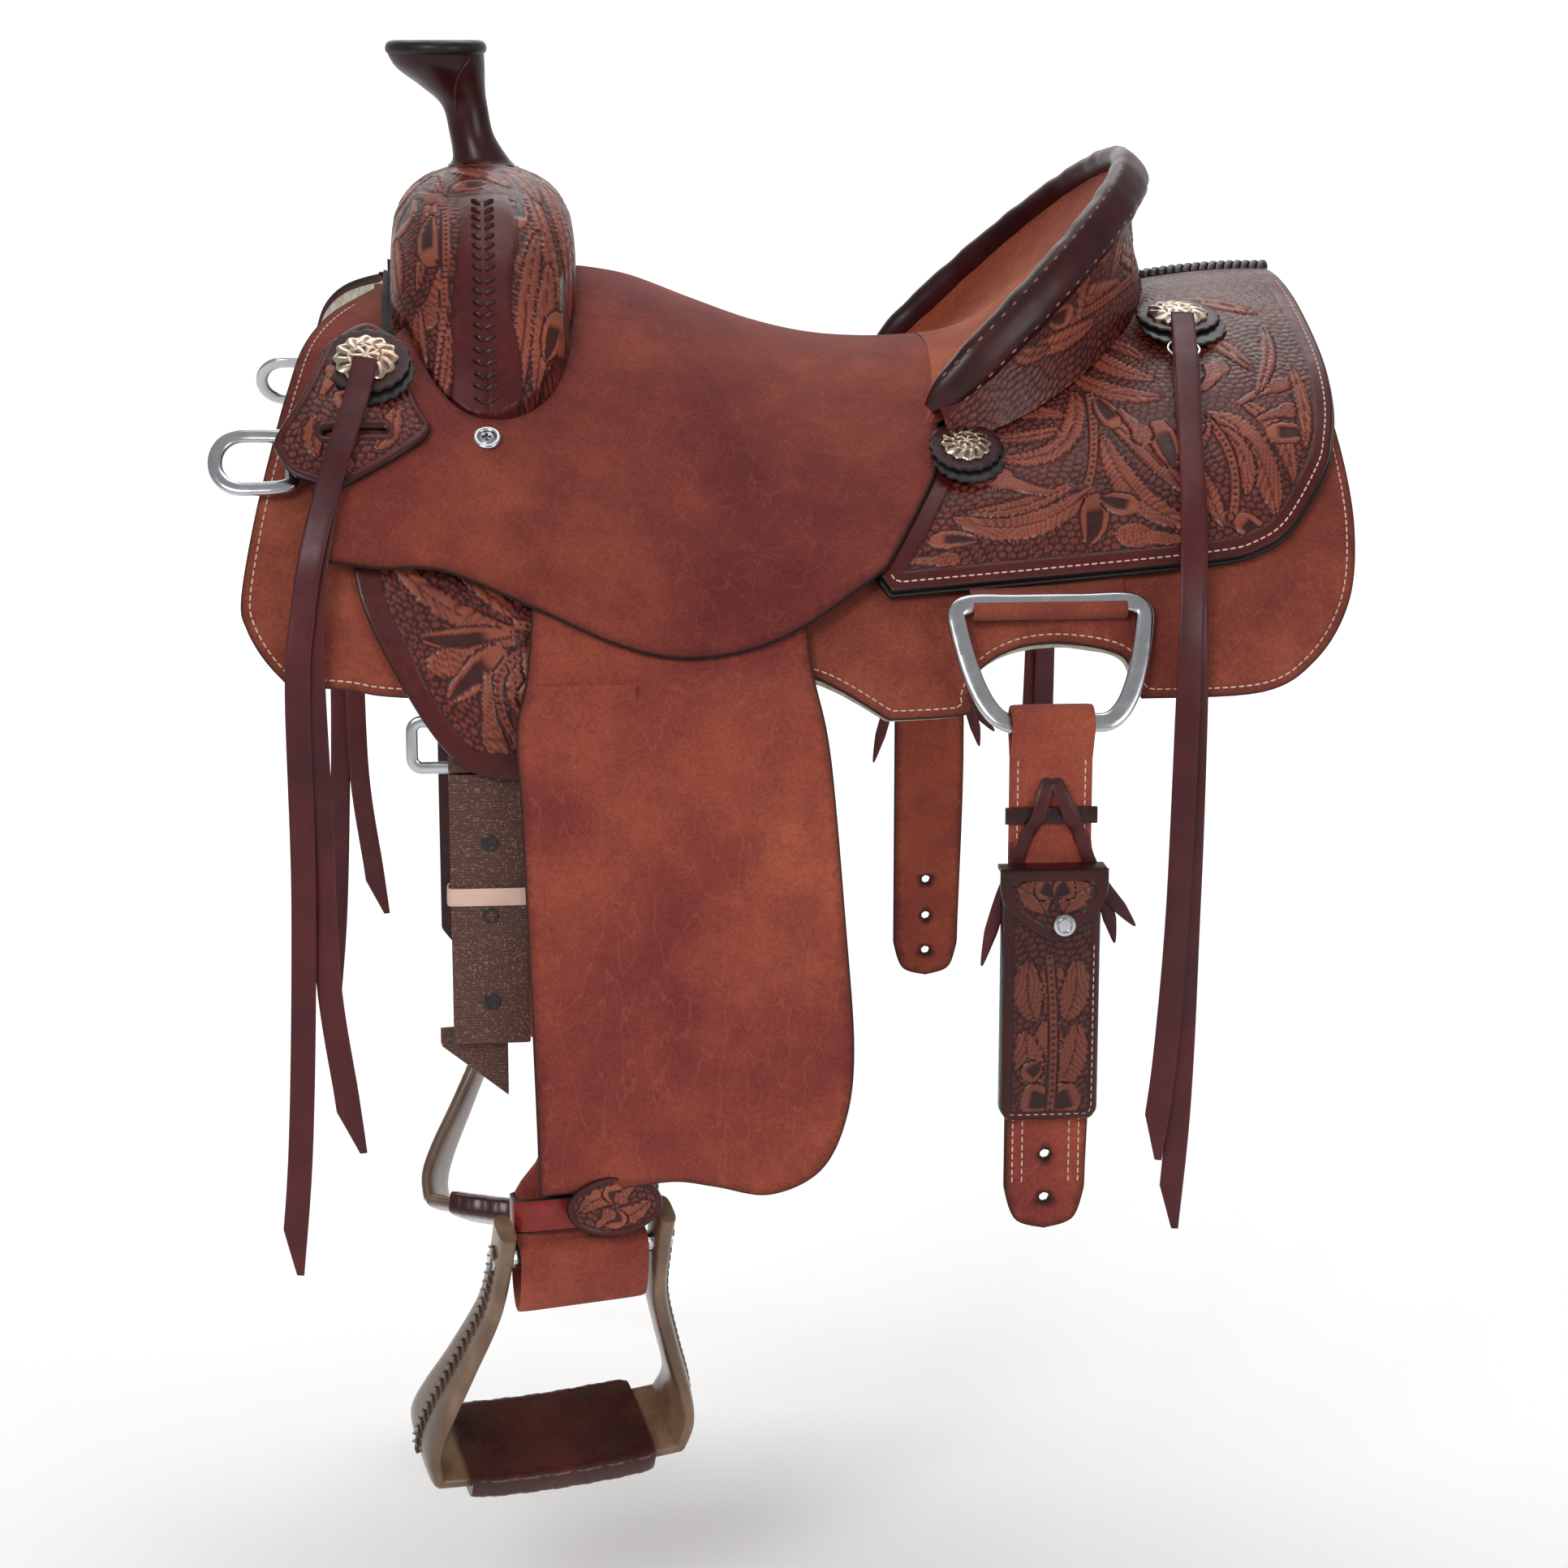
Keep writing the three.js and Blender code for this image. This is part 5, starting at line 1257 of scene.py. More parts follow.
def conchos():
    """Silver conchos on two leather rosettes, seat screws in their ferrules, and rings under the conchos."""
    for stem, (x, z, lift, radius, under) in CONCHOS.items():
        place, lower = facing(x, z, lift), facing(x + 1.5, z - 3.5, lift)
        medal(stem + "_silver", place, lift, radius, 12, [stem])
        upper_ring, lower_ring = scallops(radius + 8.5, 1.8, 20), scallops(radius + 9.5, 1.8, 20)
        panels(stem + "_rosette", "root", MAROON, (), [upper_ring], place, lift - 0.5, lift - 3.2, 3, 1.0,
               dyed=1.0)
        panels(stem + "_under_rosette", "root", DARK, (), [lower_ring], lower, lift - 3.4, under - 1.0, 3,
               0.8, dyed=1.0)
    place = facing(*SCREW, 25)
    t = around(96)
    r = np.linspace(0.02, 4.8, 30)[:, None]
    u, v = r * np.cos(t), r * np.sin(t)
    cross = np.maximum((np.abs(u) < 0.75) & (np.abs(v) < 2.7), (np.abs(v) < 0.75) & (np.abs(u) < 2.7))
    head = place(u, v, 26.6 - 0.05 * r**2 - 1.3 * cross)
    foot = place(u[-1:], v[-1:], np.full_like(u[-1:], 23.0))
    # The cross slot is painted near black: painted shade in the recess.
    tone = np.concatenate([0.85 * cross.ravel(), np.zeros(len(t))])
    both("seat_screw", *loft(np.concatenate([head, foot])), "root", STEEL, tone=tone)
    turn = around(48)
    rings = (("screw_ferrule", SCREW, 24.9, 6.9, 1.7), ("concho_ring", (255, 58), 28.6, 10, 1.1))
    for stem, at, lift, wide, wire in rings:
        here = facing(*at, lift)
        loop = here(wide * np.cos(turn), wide * np.sin(turn), lift)
        normal = unit(here(0.0, 0.0, 30.0) - here(0.0, 0.0, 0.0))
        both(stem, *hoop(loop, normal, wire, wire), "root", STEEL)


def hoop(path, normal, a, b, sides=16, power=0.8):
    """A closed bar along a flat loop: a is half its width in the loop's plane, b half its thickness."""
    run = unit(np.roll(path, -1, axis=0) - np.roll(path, 1, axis=0))
    wide = np.cross(np.broadcast_to(normal, run.shape), run)
    return sweep(path, oval(a, b, sides, power), wide, closed=True)


def bezier(a, b, c, d, count=16):
    t = np.linspace(0, 1, count, endpoint=False)[:, None]
    a, b, c, d = (np.array(p, float) for p in (a, b, c, d))
    return (1 - t) ** 3 * a + 3 * t * (1 - t) ** 2 * b + 3 * t * t * (1 - t) * c + t**3 * d


# ---- Dees ----
DEE = {"x": 153, "top": (-253, -84), "low": (-290, -151)}  # rear dee: the middles of its two bars, as (y, z)
HANG_Y, HANG_Z = -266.5, -176.25  # the lower bar of the front dee


def dees():
    """The rear dees with their leather tabs, the breast collar dees and the front rigging dees."""
    drop = math.dist(DEE["top"], DEE["low"])
    up = unit(np.array([0, DEE["top"][0] - DEE["low"][0], DEE["top"][1] - DEE["low"][1]]))
    out = np.cross((1.0, 0, 0), up)
    half = np.vstack([
        bezier((20, 0), (40, 0), (58, 4), (58, -9), 10),
        bezier((58, -9), (53, -42), (44, -drop), (26, -drop), 24),
        [[13, -drop], [0, -drop]],
    ])
    loop = np.vstack([half, (half * (-1, 1))[::-1][1:], [[0, 0]]])
    loop = resample(loop, 2.5, True)
    path = np.array([DEE["x"], *DEE["top"]]) + loop[:, :1] * np.array([1.0, 0, 0]) + loop[:, 1:] * up
    both("rear_dee_ring", *hoop(path, out, 5.8, 3.0, 20, 0.62), "rear_dee", STEEL, ["rear_dee"])
    x = DEE["x"] + np.linspace(-47, 47, 20)
    skirt_y = lambda along, z: frame_at(along, z, 6.5)[0][1]
    rows = [(skirt_y(DEE["x"], z), z) for z in (-60, -68, -76)]
    wrap = curve([*rows, (-251, -82), (-258.8, -86), (-256.5, -91), (-249, -93.5), (-243, -92)], 5)
    tangent = unit(np.gradient(wrap, axis=0))
    normal = np.stack([tangent[:, 1], -tangent[:, 0]], axis=1)
    heights = wrap[:, 1]
    back_y = np.array([[skirt_y(a, z) - skirt_y(DEE["x"], z) for a in x] for z in heights])
    back_y *= soft_step((heights + 81) / 6)[:, None]
    grid = xyz(x, wrap[:, :1] + back_y, wrap[:, 1:])
    rise = 1.2 * xyz(0, normal[:, :1], normal[:, 1:])
    both("rear_dee_tab", *shell(grid + rise, grid - rise), "root", SKIRTING)
    origin, along_x, up, out = frame_at(-297, 5, 15)
    nose = bezier((-34, 18), (-56, 17), (-56, -17), (-34, -18), 30)
    flat = np.vstack([bezier((-34, -18), (-14, -18), (-4.5, -18), (-4.5, -12), 10),
                      bezier((-4.5, -12), (-4.5, 0), (-4.5, 4), (-4.5, 12), 6),
                      bezier((-4.5, 12), (-4.5, 18), (-14, 18), (-34, 18), 10), nose])
    path = origin + flat[:, :1] * along_x + flat[:, 1:] * up
    both("breast_dee_ring", *hoop(path, out, 4.4, 2.5, 16, 0.7), "breast_dee", STEEL, ["breast_dee"])
    w, h, r = 39.2, 14.2, 6  # half width, half height and corner radius of the front dee
    corner = [(w, h), (-w, h), (-w, -h), (w, -h)]
    flat = []
    for k, (cx, cz) in enumerate(corner):
        for a in np.linspace(0, math.pi / 2, 6) + k * math.pi / 2:
            flat.append((cx - r * np.sign(cx) + r * math.cos(a), cz - r * np.sign(cz) + r * math.sin(a)))
    flat = np.array(flat)
    path = xyz(-195 + flat[:, 0], HANG_Y, -162 + flat[:, 1])
    both("front_dee_ring", *hoop(path, (0, -1.0, 0), 3.7, 2.0), "root", STEEL, ["front_dee"])


# ---- Fenders, stirrup leathers and stirrups ----
BOLT = np.array([-138.0, -284.0, -478.0])
BOLT_TURN, TILT = math.radians(16), math.radians(25)
FENDER_LINE = np.array([[-118, -281], [-145, -287], [-180, -289.5], [-260, -291], [-360, -294], [-442, -296],
                        [-500, -298]])  # z, y


def fender_y(z):
    """How far out the hanging fender is at a height."""
    return np.interp(-np.asarray(z, float), -FENDER_LINE[:, 0], FENDER_LINE[:, 1])


def on_fender(u, v, lift):
    """u along the saddle, v is the height; the top of the leather lies on the back, under the seat jockey."""
    u, v, lift = np.broadcast_arrays(u, v, lift)
    hung = fender_y(v) - lift
    cosine = np.clip((v - top_line(u) + BACK_HIGH) / (BACK_HIGH + 12.6 + lift), -1, 1)
    laid = -(BACK_WIDE + 12.6 + lift) * np.sqrt(1 - cosine**2)
    return np.stack([u, mix(hung, laid, soft_step((v + 152) / 42)), v], axis=-1)


FENDER_RUNS = [
    [[-160, -62], [-165, -118], [-172, -150], [-170, -200], [-168, -254], [-164, -384], [-163, -438]],
    [[-163, -438], [-110, -434], [-80, -431], [-55, -435], [-22, -441], [9, -427], [25, -395], [30, -350],
     [25, -274], [16, -171], [7, -118], [4, -62]],
    [[4, -62], [-160, -62]],
]


def fenders():
    """The fenders bend between the saddle and the hanging strap."""
    def creases(flat, gap):
        u, v = flat.T
        swell = 0.5 * np.sin(u * 0.05 + v * 0.02) + 0.35 * np.sin(u * 0.11 - v * 0.04 + 1.3)
        return swell * np.clip(gap / 20, 0, 1), np.zeros(len(u))

    ring = outline(FENDER_RUNS)
    made = panels("fender_leather", None, SUEDE, ["fender"], [ring], on_fender, LEATHER, 0.0, 5.5, 1.9,
                  creases, dyed=1.9)
    for obj, side in zip(made, SIDES):
        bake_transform(obj)
    stirrup_leathers()


def ply_line(z):
    """The middle line of the stirrup leather at a height."""
    z = np.asarray(z, float)
    y = fender_y(z) + 3.8 + 11 * soft_step((-375 - z) / 60)
    return np.stack([BOLT[0] + 0 * z, y, z], axis=-1)


def across_at(z):
    """The strap's width direction: it turns by BOLT_TURN on the way down to the stirrup."""
    turn = BOLT_TURN * soft_step((-425 - np.asarray(z, float)) / 40)
    return np.stack([np.cos(turn), np.sin(turn), 0 * turn], axis=-1)


def stirrup_leathers():
    """The strap comes down behind the fender, goes round the stirrup's bolt and up again."""
    radius = 10.4
    z = np.linspace(-125, -462, 70)
    front = ply_line(z) - (0, 1.6, 0)
    out = np.array([math.sin(BOLT_TURN), -math.cos(BOLT_TURN), 0])
    turn = np.linspace(0.35, 2 * math.pi - 0.35, 34)
    loop = BOLT + radius * (np.cos(turn)[:, None] * np.array([0, 0, 1.0]) + np.sin(turn)[:, None] * out)
    loop[:, 2] = np.where(loop[:, 2] < BOLT[2], BOLT[2] + (loop[:, 2] - BOLT[2]) * 3.2, loop[:, 2])
    back_z = np.linspace(-462, -300, 30)
    back = ply_line(back_z) + (0, 2.6, 0)
    path = np.vstack([front, loop, back])
    axes = np.vstack([across_at(z), np.broadcast_to(across_at(-500.0), loop.shape), across_at(back_z)])
    low = soft_step((-415 - path[:, 2]) / 30)[:, None]
    half = oval(1, 2.0, 24, 0.3)
    section = np.stack([half[:, 0] * (31 + 10 * low) + 7 * (1 - low), half[:, 1] + 0 * low], axis=-1)
    both("stirrup_strap", *sweep(path, section, axes), "fender", SUEDE, ["stirrup_leather"])
    z = z[z < -440]
    for k, offset in enumerate((-0.4, 3.6)):
        ply = ply_line(z) + (0, offset, 0)
        both(f"strap_ply_{k}", *sweep(ply, oval(38.6, 0.7, 20, 0.3), across_at(z)), "fender", DARK)
    hobble()


HOBBLE_Z = -451.0
HOBBLE_MOTIFS = [
    ("leaf", (-5, 4), (9, 19), (25, 9), 6), ("leaf", (39, 8), (25, -7), (9, 3), 6),
    ("petal", (17, 20), (17, 14), (17, 8), 6), ("petal", (17, -8), (17, -2), (17, 4), 6),
    ("acorn", (5, -6), (11, -2), (15, 4), 4), ("acorn", (29, 18), (23, 14), (19, 8), 4),
]


def hobble():
    """The hobble strap around the stirrup leather, with its carved oval medallion on a pad."""
    middle = ply_line(HOBBLE_Z)
    wide, out = across_at(HOBBLE_Z), np.array([math.sin(BOLT_TURN) * 0.6, -1.0, 0])
    out = unit(out - (out @ wide) * wide)
    ring = oval(41.5, 9.6, 64, 0.42)
    path = middle + ring[:, :1] * wide + ring[:, 1:] * out
    up = (0, 0, 1.0)
    thick = np.cross(np.roll(path, -1, 0) - np.roll(path, 1, 0), up)
    band = sweep(path, oval(1.6, 10.5, 12, 0.5), thick, True)
    both("hobble_band", *band, "fender", BRIGHT, ["hobble_strap"])
    for name, high in (("top", 10.2), ("low", -10.2)):
        both("hobble_edge_" + name, *hoop(path + (0, 0, high), up, 1.7, 0.6, 8), "fender", DARK)
    place = lambda u, v, lift: (middle + np.multiply.outer(u, wide) + np.multiply.outer(v, up)
                                + np.multiply.outer(lift + 0 * np.asarray(u) + 10.5, out))
    t = around(80)
    ring = np.stack([17 + 30 * np.cos(t), 6 + 19 * np.sin(t)], axis=1)
    panels("hobble_medallion", "fender", TOOLED, (), [ring], place, 12.2, 9.2, 0.9, 1.4,
           bordered(HOBBLE_MOTIFS, 3.5), 1.2)
    pad = np.stack([17 + 12 * np.cos(t), 8 * np.sin(t)], axis=1)
    both("hobble_pad", *panel([pad], place, 9.4, 0.4, 3, 0.5)[:2], "fender", BRIGHT)


ARM = [[51, 26, 24], [51, 0, 24], [54, -40, 26], [67, -85, 34], [80, -125, 46], [84, -148, 54],
       [80, -166, 58]]  # x, z and width of a stirrup's side


def on_stirrup(points):
    """Points in the stirrup's own axes, hung on the bolt."""
    c, s = math.cos(BOLT_TURN), math.sin(BOLT_TURN)
    ct, st = math.cos(TILT), math.sin(TILT)
    turn = np.array([[c, -s, 0], [s, c, 0], [0, 0, 1]]) @ np.array([[1, 0, 0], [0, ct, -st], [0, st, ct]])
    return np.asarray(points) @ turn.T + BOLT


def base_z(x):
    """The middle of the stirrup's bowed base."""
    return -166 - 5 * np.cos(np.asarray(x) / 81 * math.pi / 2)


def square_ring(t, power):
    """Cosine and sine of a ring with rounded corners: a lower power makes it squarer."""
    c, s = np.cos(t), np.sin(t)
    return np.sign(c) * np.abs(c) ** power, np.sign(s) * np.abs(s) ** power


def stirrups():
    """Rawhide sides laced down their outer faces, the base, and the leather tread around it."""
    line = curve(ARM, 12)
    thick, deep = square_ring((np.arange(28) + 0.5) * 2 * math.pi / 28, 0.62)
    run = unit(np.gradient(line[:, :2], axis=0))
    out = np.stack([-run[:, 1], run[:, 0]], axis=1)
    solids, laces = [], []
    for side in (1, -1):
        rings = [xyz(side * (p[0] + n[0] * 5.6 * thick), p[2] / 2 * deep, p[1] + n[1] * 5.6 * thick)
                 for p, n in zip(line, out)]
        solids.append(loft(rings))
        face = np.hstack([(line[:, :2] + out * 6.0) * (side, 1), out * (side, 1), line[:, 2:]])
        for x, z, normal_x, normal_z, _ in resample(face, 7.2)[2:-2]:
            normal = np.array([normal_x, 0, normal_z])
            for lean in (-1, 1):
                start, end = np.array([x, lean * 0.6, z]), np.array([x, lean * 5.5, z - 4.2])
                lace = curve([start, (start + end) / 2 + normal * 0.9, end], 3)
                laces.append(sweep(lace, oval(1.5, 0.8, 8), normal))
    solids.append(loft([xyz(x, 29 * deep, base_z(x) + 5.4 * thick) for x in np.linspace(-81, 81, 40)]))
    points, faces = joined(solids)
    both("stirrup_rawhide", on_stirrup(points), faces, "stirrup", RAWHIDE, ["stirrup"])
    points, faces = joined(laces)
    both("stirrup_laces", on_stirrup(points), faces, "stirrup", RAWHIDE, edge=0.8)
    t = around(72)
    high, deep = square_ring(t, 0.42)
    rings = []
    for x in np.linspace(-61, 61, 60):
        crinkle = 0.16 * np.sin(x * 0.9 + 3 * np.cos(t)) + 0.22 * np.sin(x * 0.33 + 2 * t)
        end = 1 - 0.06 * abs(x / 61) ** 12
        rings.append(xyz(x, (36.4 + crinkle) * end * deep, base_z(x) + (9.8 + 0.5 * crinkle) * end * high))
    points, faces = loft(rings)
    both("stirrup_tread_leather", on_stirrup(points), faces, "stirrup", TREAD, ["stirrup_tread"])


# ---- Flank billets and the pouch ----
BILLET_X, BILLET_Y, BILLET_TOP = 149, -290, -151


def billets():
    """A billet hangs from the rear dee: a folded top, a tail with holes, stitching, a keeper and its lace."""
    front = BILLET_Y - 3.4
    t = np.linspace(math.pi + 0.35, -0.35, 30)
    path = np.vstack([
        xyz(BILLET_X, BILLET_Y + 1.8, np.linspace(-236, -172, 5)),
        xyz(BILLET_X, BILLET_Y - 10.2 * np.cos(t), BILLET_TOP + 10.2 * np.sin(t)),
        xyz(BILLET_X, np.linspace(front + 1.5, front + 1.7, 9), np.linspace(-172, -250, 9)),
    ])
    both("billet_loop", *sweep(path, oval(25, 1.7, 24, 0.3), (1, 0, 0)), "billet", SUEDE, ["flank_billet"])
    place = lambda u, v, lift: xyz(BILLET_X + u, BILLET_Y - lift, v)
    outer = outline([[[-25, -222], [25, -222], [25, -444]], [[25, -444], [18, -464], [0, -470]],
                     [[0, -470], [-18, -464], [-25, -444]], [[-25, -444], [-25, -222]]])
    turn = around(20)
    holes = [np.stack([3.4 * np.cos(turn), z + 3.4 * np.sin(turn)], axis=1) for z in (-393, -422, -450)]
    panels("billet_tail", "billet", SUEDE, (), [outer] + holes, place, 3.3, -3.3, 5, 1.2)
    for name, x in (("front", -20.5), ("inner_front", -14.5), ("inner_rear", 14.5), ("rear", 20.5)):
        line = xyz(BILLET_X + x, front - 0.15, np.linspace(-172, -440, 40))
        if "inner" in name:
            line = line[line[:, 2] < -392]
        both("billet_stitching_" + name, *stitches(line), "billet", THREAD)
    z = np.linspace(-5, 5, 9)
    u = np.linspace(-28, 28, 29)[:, None]
    keeper = xyz(BILLET_X + u, front - 2.4 - 0.7 * np.abs(np.sin(u * 0.42)) + 0.02 * z**2, -206.5 + z)
    both("billet_keeper", *shell(keeper, keeper + (0, 2.4, 0)), "billet", MAROON)
    thongs(front)


def thongs(front):
    """The lace that ties the billet: its tails come out over the front, above and beside the pouch."""
    routes = {
        "left": [
            [147, 0.6, -184], [144, -3.6, -194], [140, -5.0, -207], [134, -1.7, -219], [128, -1.2, -236],
            [120, -0.6, -256], [113, 0, -280], [108, 0.4, -300],
        ],
        "right": [
            [151, 0.6, -184], [155, -3.6, -194], [160, -5.0, -207], [167, -1.7, -219], [173, -1.2, -236],
            [181, -0.6, -250], [193, 0, -266], [202, 0.4, -277],
        ],
        "right_low": [
            [152, 0.8, -186], [157, -1.6, -196], [163, -2.2, -209], [168, 0.6, -224], [176, 2.4, -242],
            [182, 2.4, -258], [187, 2.6, -274], [190, 2.8, -288],
        ],
    }
    for name, knots in routes.items():
        line = curve(knots, 10)
        line[:, 1] += front
        size = np.interp(np.linspace(0, 1, len(line)), [0, 0.85, 1], [1, 1, 0.15])
        section = oval(4.2, 1.0, 12, 0.6)[None] * np.stack([size, 0 * size + 1], axis=1)[:, None]
        both("billet_thong_" + name, *sweep(line, section, (1, 0, 0)), "billet", STRING)
    # The slit is a short dark bar on the billet's face: painted shade in the cut.
    slit = xyz(BILLET_X + np.array([5, 0, -5]), front - np.array([0.6, 1.2, 0.6]), [-186, -186.5, -186])
    both("billet_slit", *sweep(curve(slit, 5), oval(1.2, 0.8, 8), (0, 0, 1)), "billet", DARK)


POUCH_MOTIFS = [
    ("acorn", (0, -58), (0, -70), (0, -84), 15), ("acorn", (0, -92), (-2, -106), (-4, -118), 14),
    ("leaf", (-14, -54), (-18, -72), (-10, -92), 9), ("leaf", (14, -54), (18, -72), (8, -92), 9),
    ("leaf", (-16, -98), (-16, -118), (-6, -136), 9), ("leaf", (16, -94), (16, -116), (4, -136), 9),
    ("petal", (-18, -140), (-8, -142), (0, -144), 8), ("petal", (18, -138), (8, -142), (0, -146), 8),
    ("stem", (-2, -50), (4, -100), (0, -150), 2.5), ("petal", (-17, -128), (-12, -124), (-6, -118), 5),
]
FLAP_MOTIFS = [
    ("leaf", (-22, -8), (-10, -12), (-6, -24), 8), ("leaf", (22, -8), (10, -12), (6, -24), 8),
    ("petal", (-12, -6), (-4, -8), (0, -14), 6), ("petal", (12, -6), (5, -8), (1, -14), 6),
]


def pouch():
    """The carved pouch on the near billet, its stitching, and the flap with its snap."""
    face = -293.65
    top, low = -240.0, -396.0

    def place(u, v, lift):
        tall = top - low
        side = np.clip(1 - (np.abs(u) / 30) ** 6, 0, 1)
        end = np.clip(1 - (np.abs(v + tall / 2) / (tall / 2)) ** 12, 0, 1)
        return xyz(BILLET_X + u, face - 11.6 - lift + 4.5 * (1 - side * end), v + top)

    box = [[-30, -3], [30, -3], [30, -150], [26, -156], [-26, -156], [-30, -150]]
    ring = resample(np.array(box, float), 2.5, True)
    points, faces, marks = panel([ring], place, 3.2, -11.5, 1.2, 2.2, bordered(POUCH_MOTIFS, 6.5), 1.2)
    points[:, 1] = np.minimum(points[:, 1], face - 0.3)
    add("pouch_leather", points, faces, "billet_left", DARK_TOOLED, ["pouch"], **marks)
    seam = np.concatenate([np.stack([np.full(50, 25.5), np.linspace(-44, -151, 50)]),
                           np.stack([np.linspace(25, -25.5, 24), np.full(24, -151.5)])], axis=1)
    add("pouch_stitching", *stitches(place(*seam, 3.0)), "billet_left", THREAD)
    flap_place = lambda u, v, lift: xyz(BILLET_X + u, face - 17 - lift, v + top + 1)
    flap = outline([[[-33, 3], [33, 3]], [[33, 3], [32, -14], [24, -27], [9, -38], [0, -42], [-9, -38],
                                          [-24, -27], [-32, -14], [-33, 3]]])
    points, faces, marks = panel([flap], flap_place, 1.8, -1.2, 1.0, 1.4, bordered(FLAP_MOTIFS, 7), 1.3)
    add("pouch_flap_leather", points, faces, "pouch_flap", DARK_TOOLED, ["pouch_flap"], **marks)
    strip = xyz(BILLET_X + np.array([-32, 32]), face - 9, -237.2)
    add("pouch_flap_top", *sweep(strip, oval(9.2, 1.5, 20, 0.4), (0, 1, 0)), "pouch_flap", MAROON)
    snap = flap_place(6.0, -31.0, 1.8)
    t = around(48)
    profile = [(0.1, 3.4), (3.6, 3.3), (4.2, 2.6), (4.7, 3.2), (6.6, 2.9), (7.2, 1.6), (7.2, -0.4)]
    rings = [xyz(snap[0] + r * np.cos(t), snap[1] - h, snap[2] + r * np.sin(t)) for r, h in profile]
    add("pouch_snap", *loft(rings), "pouch_flap", STEEL)


# ---- Latigo and off billet ----
LATIGO_X, OFF_BILLET_X = -189.5, -205.0


def latigo():
    """A nylon strap in four layers: over the dee, folded up at the bottom, and held by an elastic band."""
    folds = []
    for offset, low, high in ((-5.0, -346, -180), (-1.6, -340, -186), (1.8, -336, -186), (5.0, -346, -180)):
        z = np.linspace(high, low, 30)
        line = xyz(LATIGO_X, HANG_Y + offset + 0.3 * np.sin(z / 17 + offset), z)
        folds.append(sweep(line, oval(23.4, 1.4, 22, 0.28), (1, 0, 0)))
    t = np.linspace(0, math.pi, 18)
    loop = xyz(LATIGO_X, HANG_Y + 5.6 * np.cos(t), -178 + 8.8 * np.sin(t))
    folds.append(sweep(loop, oval(23.4, 1.3, 22, 0.28), (1, 0, 0)))
    t = np.linspace(0, -math.pi, 14)
    for a, b in ((-5.0, -1.6), (1.8, 5.0)):
        turn = xyz(LATIGO_X, HANG_Y + (a + b) / 2 + (b - a) / 2 * np.cos(t), -344 + 3 * np.sin(t))
        folds.append(sweep(turn, oval(23.3, 1.3, 22, 0.28), (1, 0, 0)))
    add("latigo_folds", *joined(folds), "latigo_left", NYLON, ["latigo_left"])
    place = lambda u, v, lift: xyz(u, HANG_Y + 4.2 - lift, v)
    tail = np.array([[-221, -340], [-180, -338], [-180, -384], [-221, -351]], float)
    add("latigo_tail", *panel([tail], place, 1.2, -1.2, 4, 0.6)[:2], "latigo_left", NYLON)
    t = around(24)
    eyes, holes = [], []
    for z in (-222, -267, -321):
        eye = xyz(LATIGO_X + 0.5 + 4.0 * np.cos(t), HANG_Y - 6.5, z + 4.0 * np.sin(t))
        eyes.append(hoop(eye, (0, -1.0, 0), 1.3, 0.7, 8))
        # Each hole is a dark disc laid on the strap's face: painted shade in the hole.
        holes.append(loft([xyz(LATIGO_X + 0.5 + r * np.cos(t), HANG_Y - deep, z + r * np.sin(t))
                           for r, deep in ((0.1, 6.6), (3.4, 6.6), (3.4, 5.8))]))
    add("latigo_eyes", *joined(eyes), "latigo_left", LACE)
    add("latigo_holes", *joined(holes), "latigo_left", LACE)
    band = oval(25.0, 8.0, 40, 0.25)
    path = xyz(LATIGO_X + band[:, 0], HANG_Y + band[:, 1], -255.0)
    add("latigo_elastic", *sweep(path, oval(5.5, 0.8, 10, 0.5), (0, 0, 1.0), True), "latigo_left", THREAD)


def off_billet():
    """The leather strap on the far side: a sewn loop over the dee and a pointed tail."""
    t = np.linspace(0, math.pi, 18)
    path = np.vstack([
        xyz(OFF_BILLET_X, HANG_Y + 2.4, np.linspace(-250, -184, 12)),
        xyz(OFF_BILLET_X, HANG_Y + 7.2 * np.cos(t), HANG_Z + 7.2 * np.sin(t)),
        xyz(OFF_BILLET_X, HANG_Y + np.linspace(-6.6, -1.6, 12), np.linspace(-182, -228, 12)),
    ])
    points, faces = sweep(path, oval(21.8, 1.5, 22, 0.3), (1, 0, 0))
    add("off_billet_loop", points, faces, "off_billet_right", MAROON, ["off_billet_right"], "right")
    place = lambda u, v, lift: xyz(u, HANG_Y - lift, v)
    tail = outline([[[-227, -222], [-183, -222], [-183, -418]], [[-183, -418], [-205, -440], [-227, -418]],
                    [[-227, -418], [-227, -222]]])
    points, faces, marks = panel([tail], place, 2.7, -1.4, 5, 1.0, dyed=1.6)
    add("off_billet_tail", points, faces, "off_billet_right", MAROON, (), "right", **marks)


# ---- Latigo keeper ----
KEEPER_RUNS = [
    [[-281, 70], [-296, 42], [-311, 20], [-309, 10], [-299, -1], [-273, -9]],
    [[-273, -9], [-240, 7], [-220, 20], [-226, 33], [-232, 46], [-236, 68]],
    [[-236, 68], [-258, 80], [-281, 70]],
]
KEEPER_MOTIFS = [
    ("leaf", (-286, 30), (-292, 20), (-286, 8), 6), ("leaf", (-240, 34), (-240, 24), (-252, 12), 6),
    ("leaf", (-268, 10), (-274, 2), (-266, -2), 6), ("petal", (-276, 36), (-266, 40), (-256, 38), 6),
    ("acorn", (-284, 42), (-280, 50), (-274, 56), 5), ("acorn", (-244, 42), (-246, 52), (-250, 58), 5),
]


def keepers():
    """The carved latigo keepers under the front conchos, each with a slit."""
    lift = 28.0
    ring = to_flat(outline(KEEPER_RUNS), lift)
    slit = to_flat(np.array([[-283, 20.4], [-246, 20.4], [-246, 23.6], [-283, 23.6]], float), lift)
    relief = bordered(flat_motifs(KEEPER_MOTIFS, lift), 4.5)
    panels("keeper_leather", "root", TOOLED, ["latigo_keeper"], [ring, slit], on_back, 29.7, 25.4, 1.1, 1.5,
           relief, 1.4)


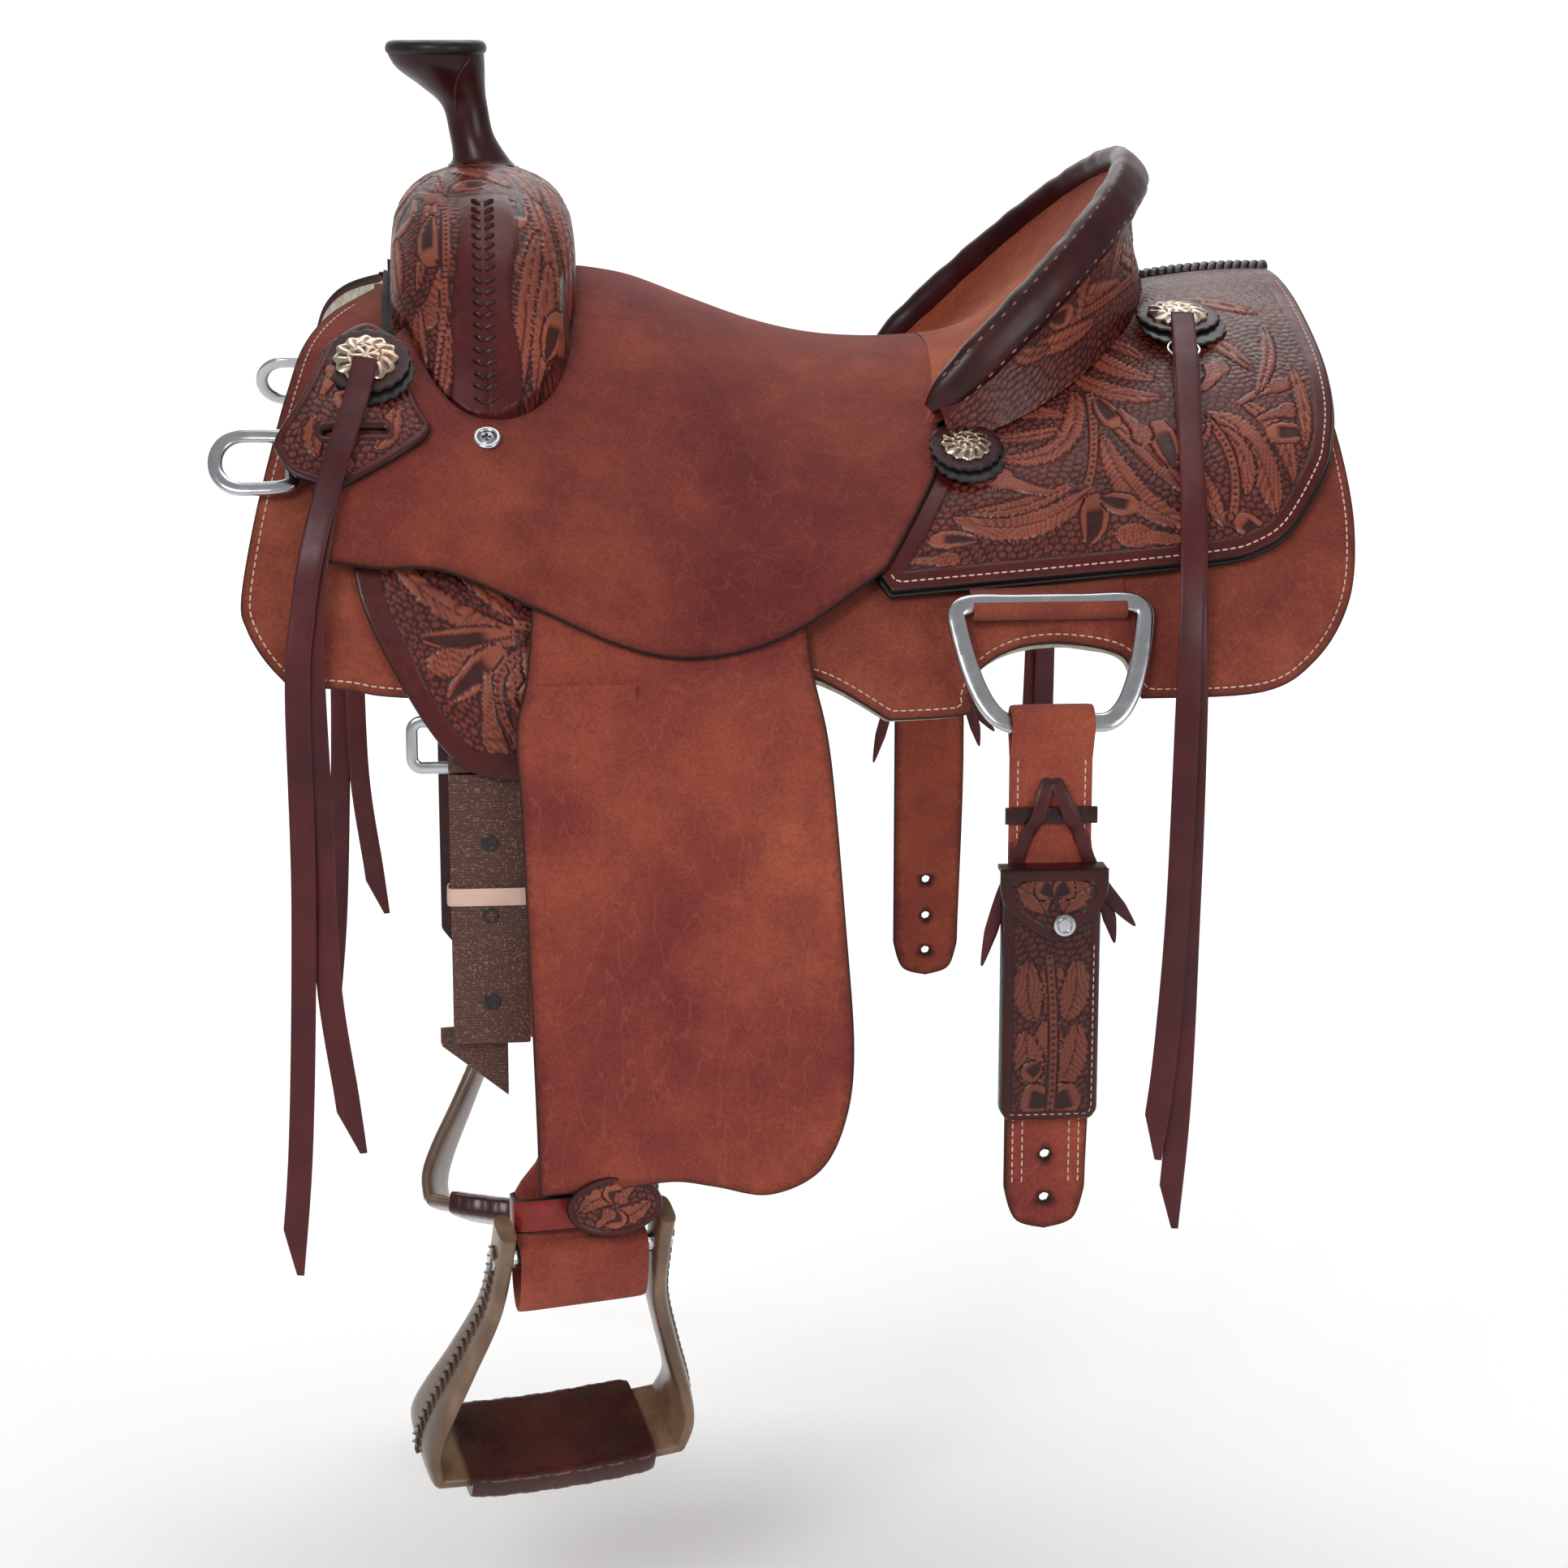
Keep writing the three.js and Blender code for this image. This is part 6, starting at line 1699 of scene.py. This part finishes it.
# ---- Saddle strings ----
STRINGS = {
    "front_string_long": [
        [-262, -222, 46], [-268, -240, 28], [-277, -262, 2], [-289, -281, -40], [-296, -286, -80],
        [-300, -290, -125], [-300, -291, -250], [-306, -292, -400], [-314, -293, -485],
    ],
    "front_string_short": [
        [-262, -216, 46], [-268, -234, 28], [-277, -257, 2], [-286, -276, -40], [-291, -282, -80],
        [-291, -285, -125], [-289, -286, -198], [-287, -287, -300], [-278, -287, -375], [-274, -287, -411],
    ],
    "rear_string_short": [
        [253, -160, 50], [247, -201, 20], [241, -246, -25], [237, -269, -60], [235, -280, -95],
        [233, -285, -135], [230, -286, -260], [224, -286, -364], [216, -286, -429],
    ],
    "rear_string_long": [
        [253, -152, 50], [247, -196, 20], [243, -241, -25], [240, -263, -60], [239, -274, -95],
        [239, -279, -135], [238, -280, -260], [235, -280, -391], [229, -280, -477],
    ],
}
STRING_STARTS = {"front": (-258, 62, 38.6), "rear": (259, 77, 35.4)}  # x, z and lift at the conchos
STRING_HALF = 7.5  # half of a string's width


def strings():
    """Flat thongs from the conchos, twisting a little, each with its end cut to a point."""
    for name, knots in STRINGS.items():
        where = name.split("_")[0]
        start = frame_at(*STRING_STARTS[where])[0] + (0, 0.4 if name.endswith("short") else 0, 1.5)
        line = resample(curve([start] + knots), 4.0)
        run = travelled(line)
        cut = np.clip(0.3 + (run[-1] - run) / 40, 0, 1)
        ring = oval(STRING_HALF, 1.25, 16, 0.5)
        wobble = 0.12 * np.sin(run / 31) * soft_step(run / 160)
        wide = xyz(np.cos(wobble), np.sin(wobble), 0)
        aside = STRING_HALF - (STRING_HALF - ring[:, 0]) * cut[:, None]
        section = np.stack(np.broadcast_arrays(aside, ring[:, 1]), axis=-1)
        points, faces = sweep(line, section, wide)
        made = both(name + "_thong", points, faces, where + "_strings", STRING, [name])


def wooden_parts():
    """The CAD nodes that stay as they are get their materials."""
    finish = {"tree_bar": DARK, "tree_fork": DARK, "ground_seat": SKIRTING, "horn_post": STEEL,
              "tree_cantle": TIMBER, "stirrup_bolt": STEEL}
    for obj in list(bpy.data.objects):
        for stem, material in finish.items():
            if obj.type == "MESH" and obj.name.startswith(stem):
                obj.data.materials.clear()
                obj.data.materials.append(material)


wooden_parts()
skirts()
rigging_plates()
seat()
binding()
rear_jockeys()
cantle_back()
swell()
horn()
keepers()
conchos()
dees()
fenders()
stirrups()
billets()
pouch()
latigo()
off_billet()
strings()
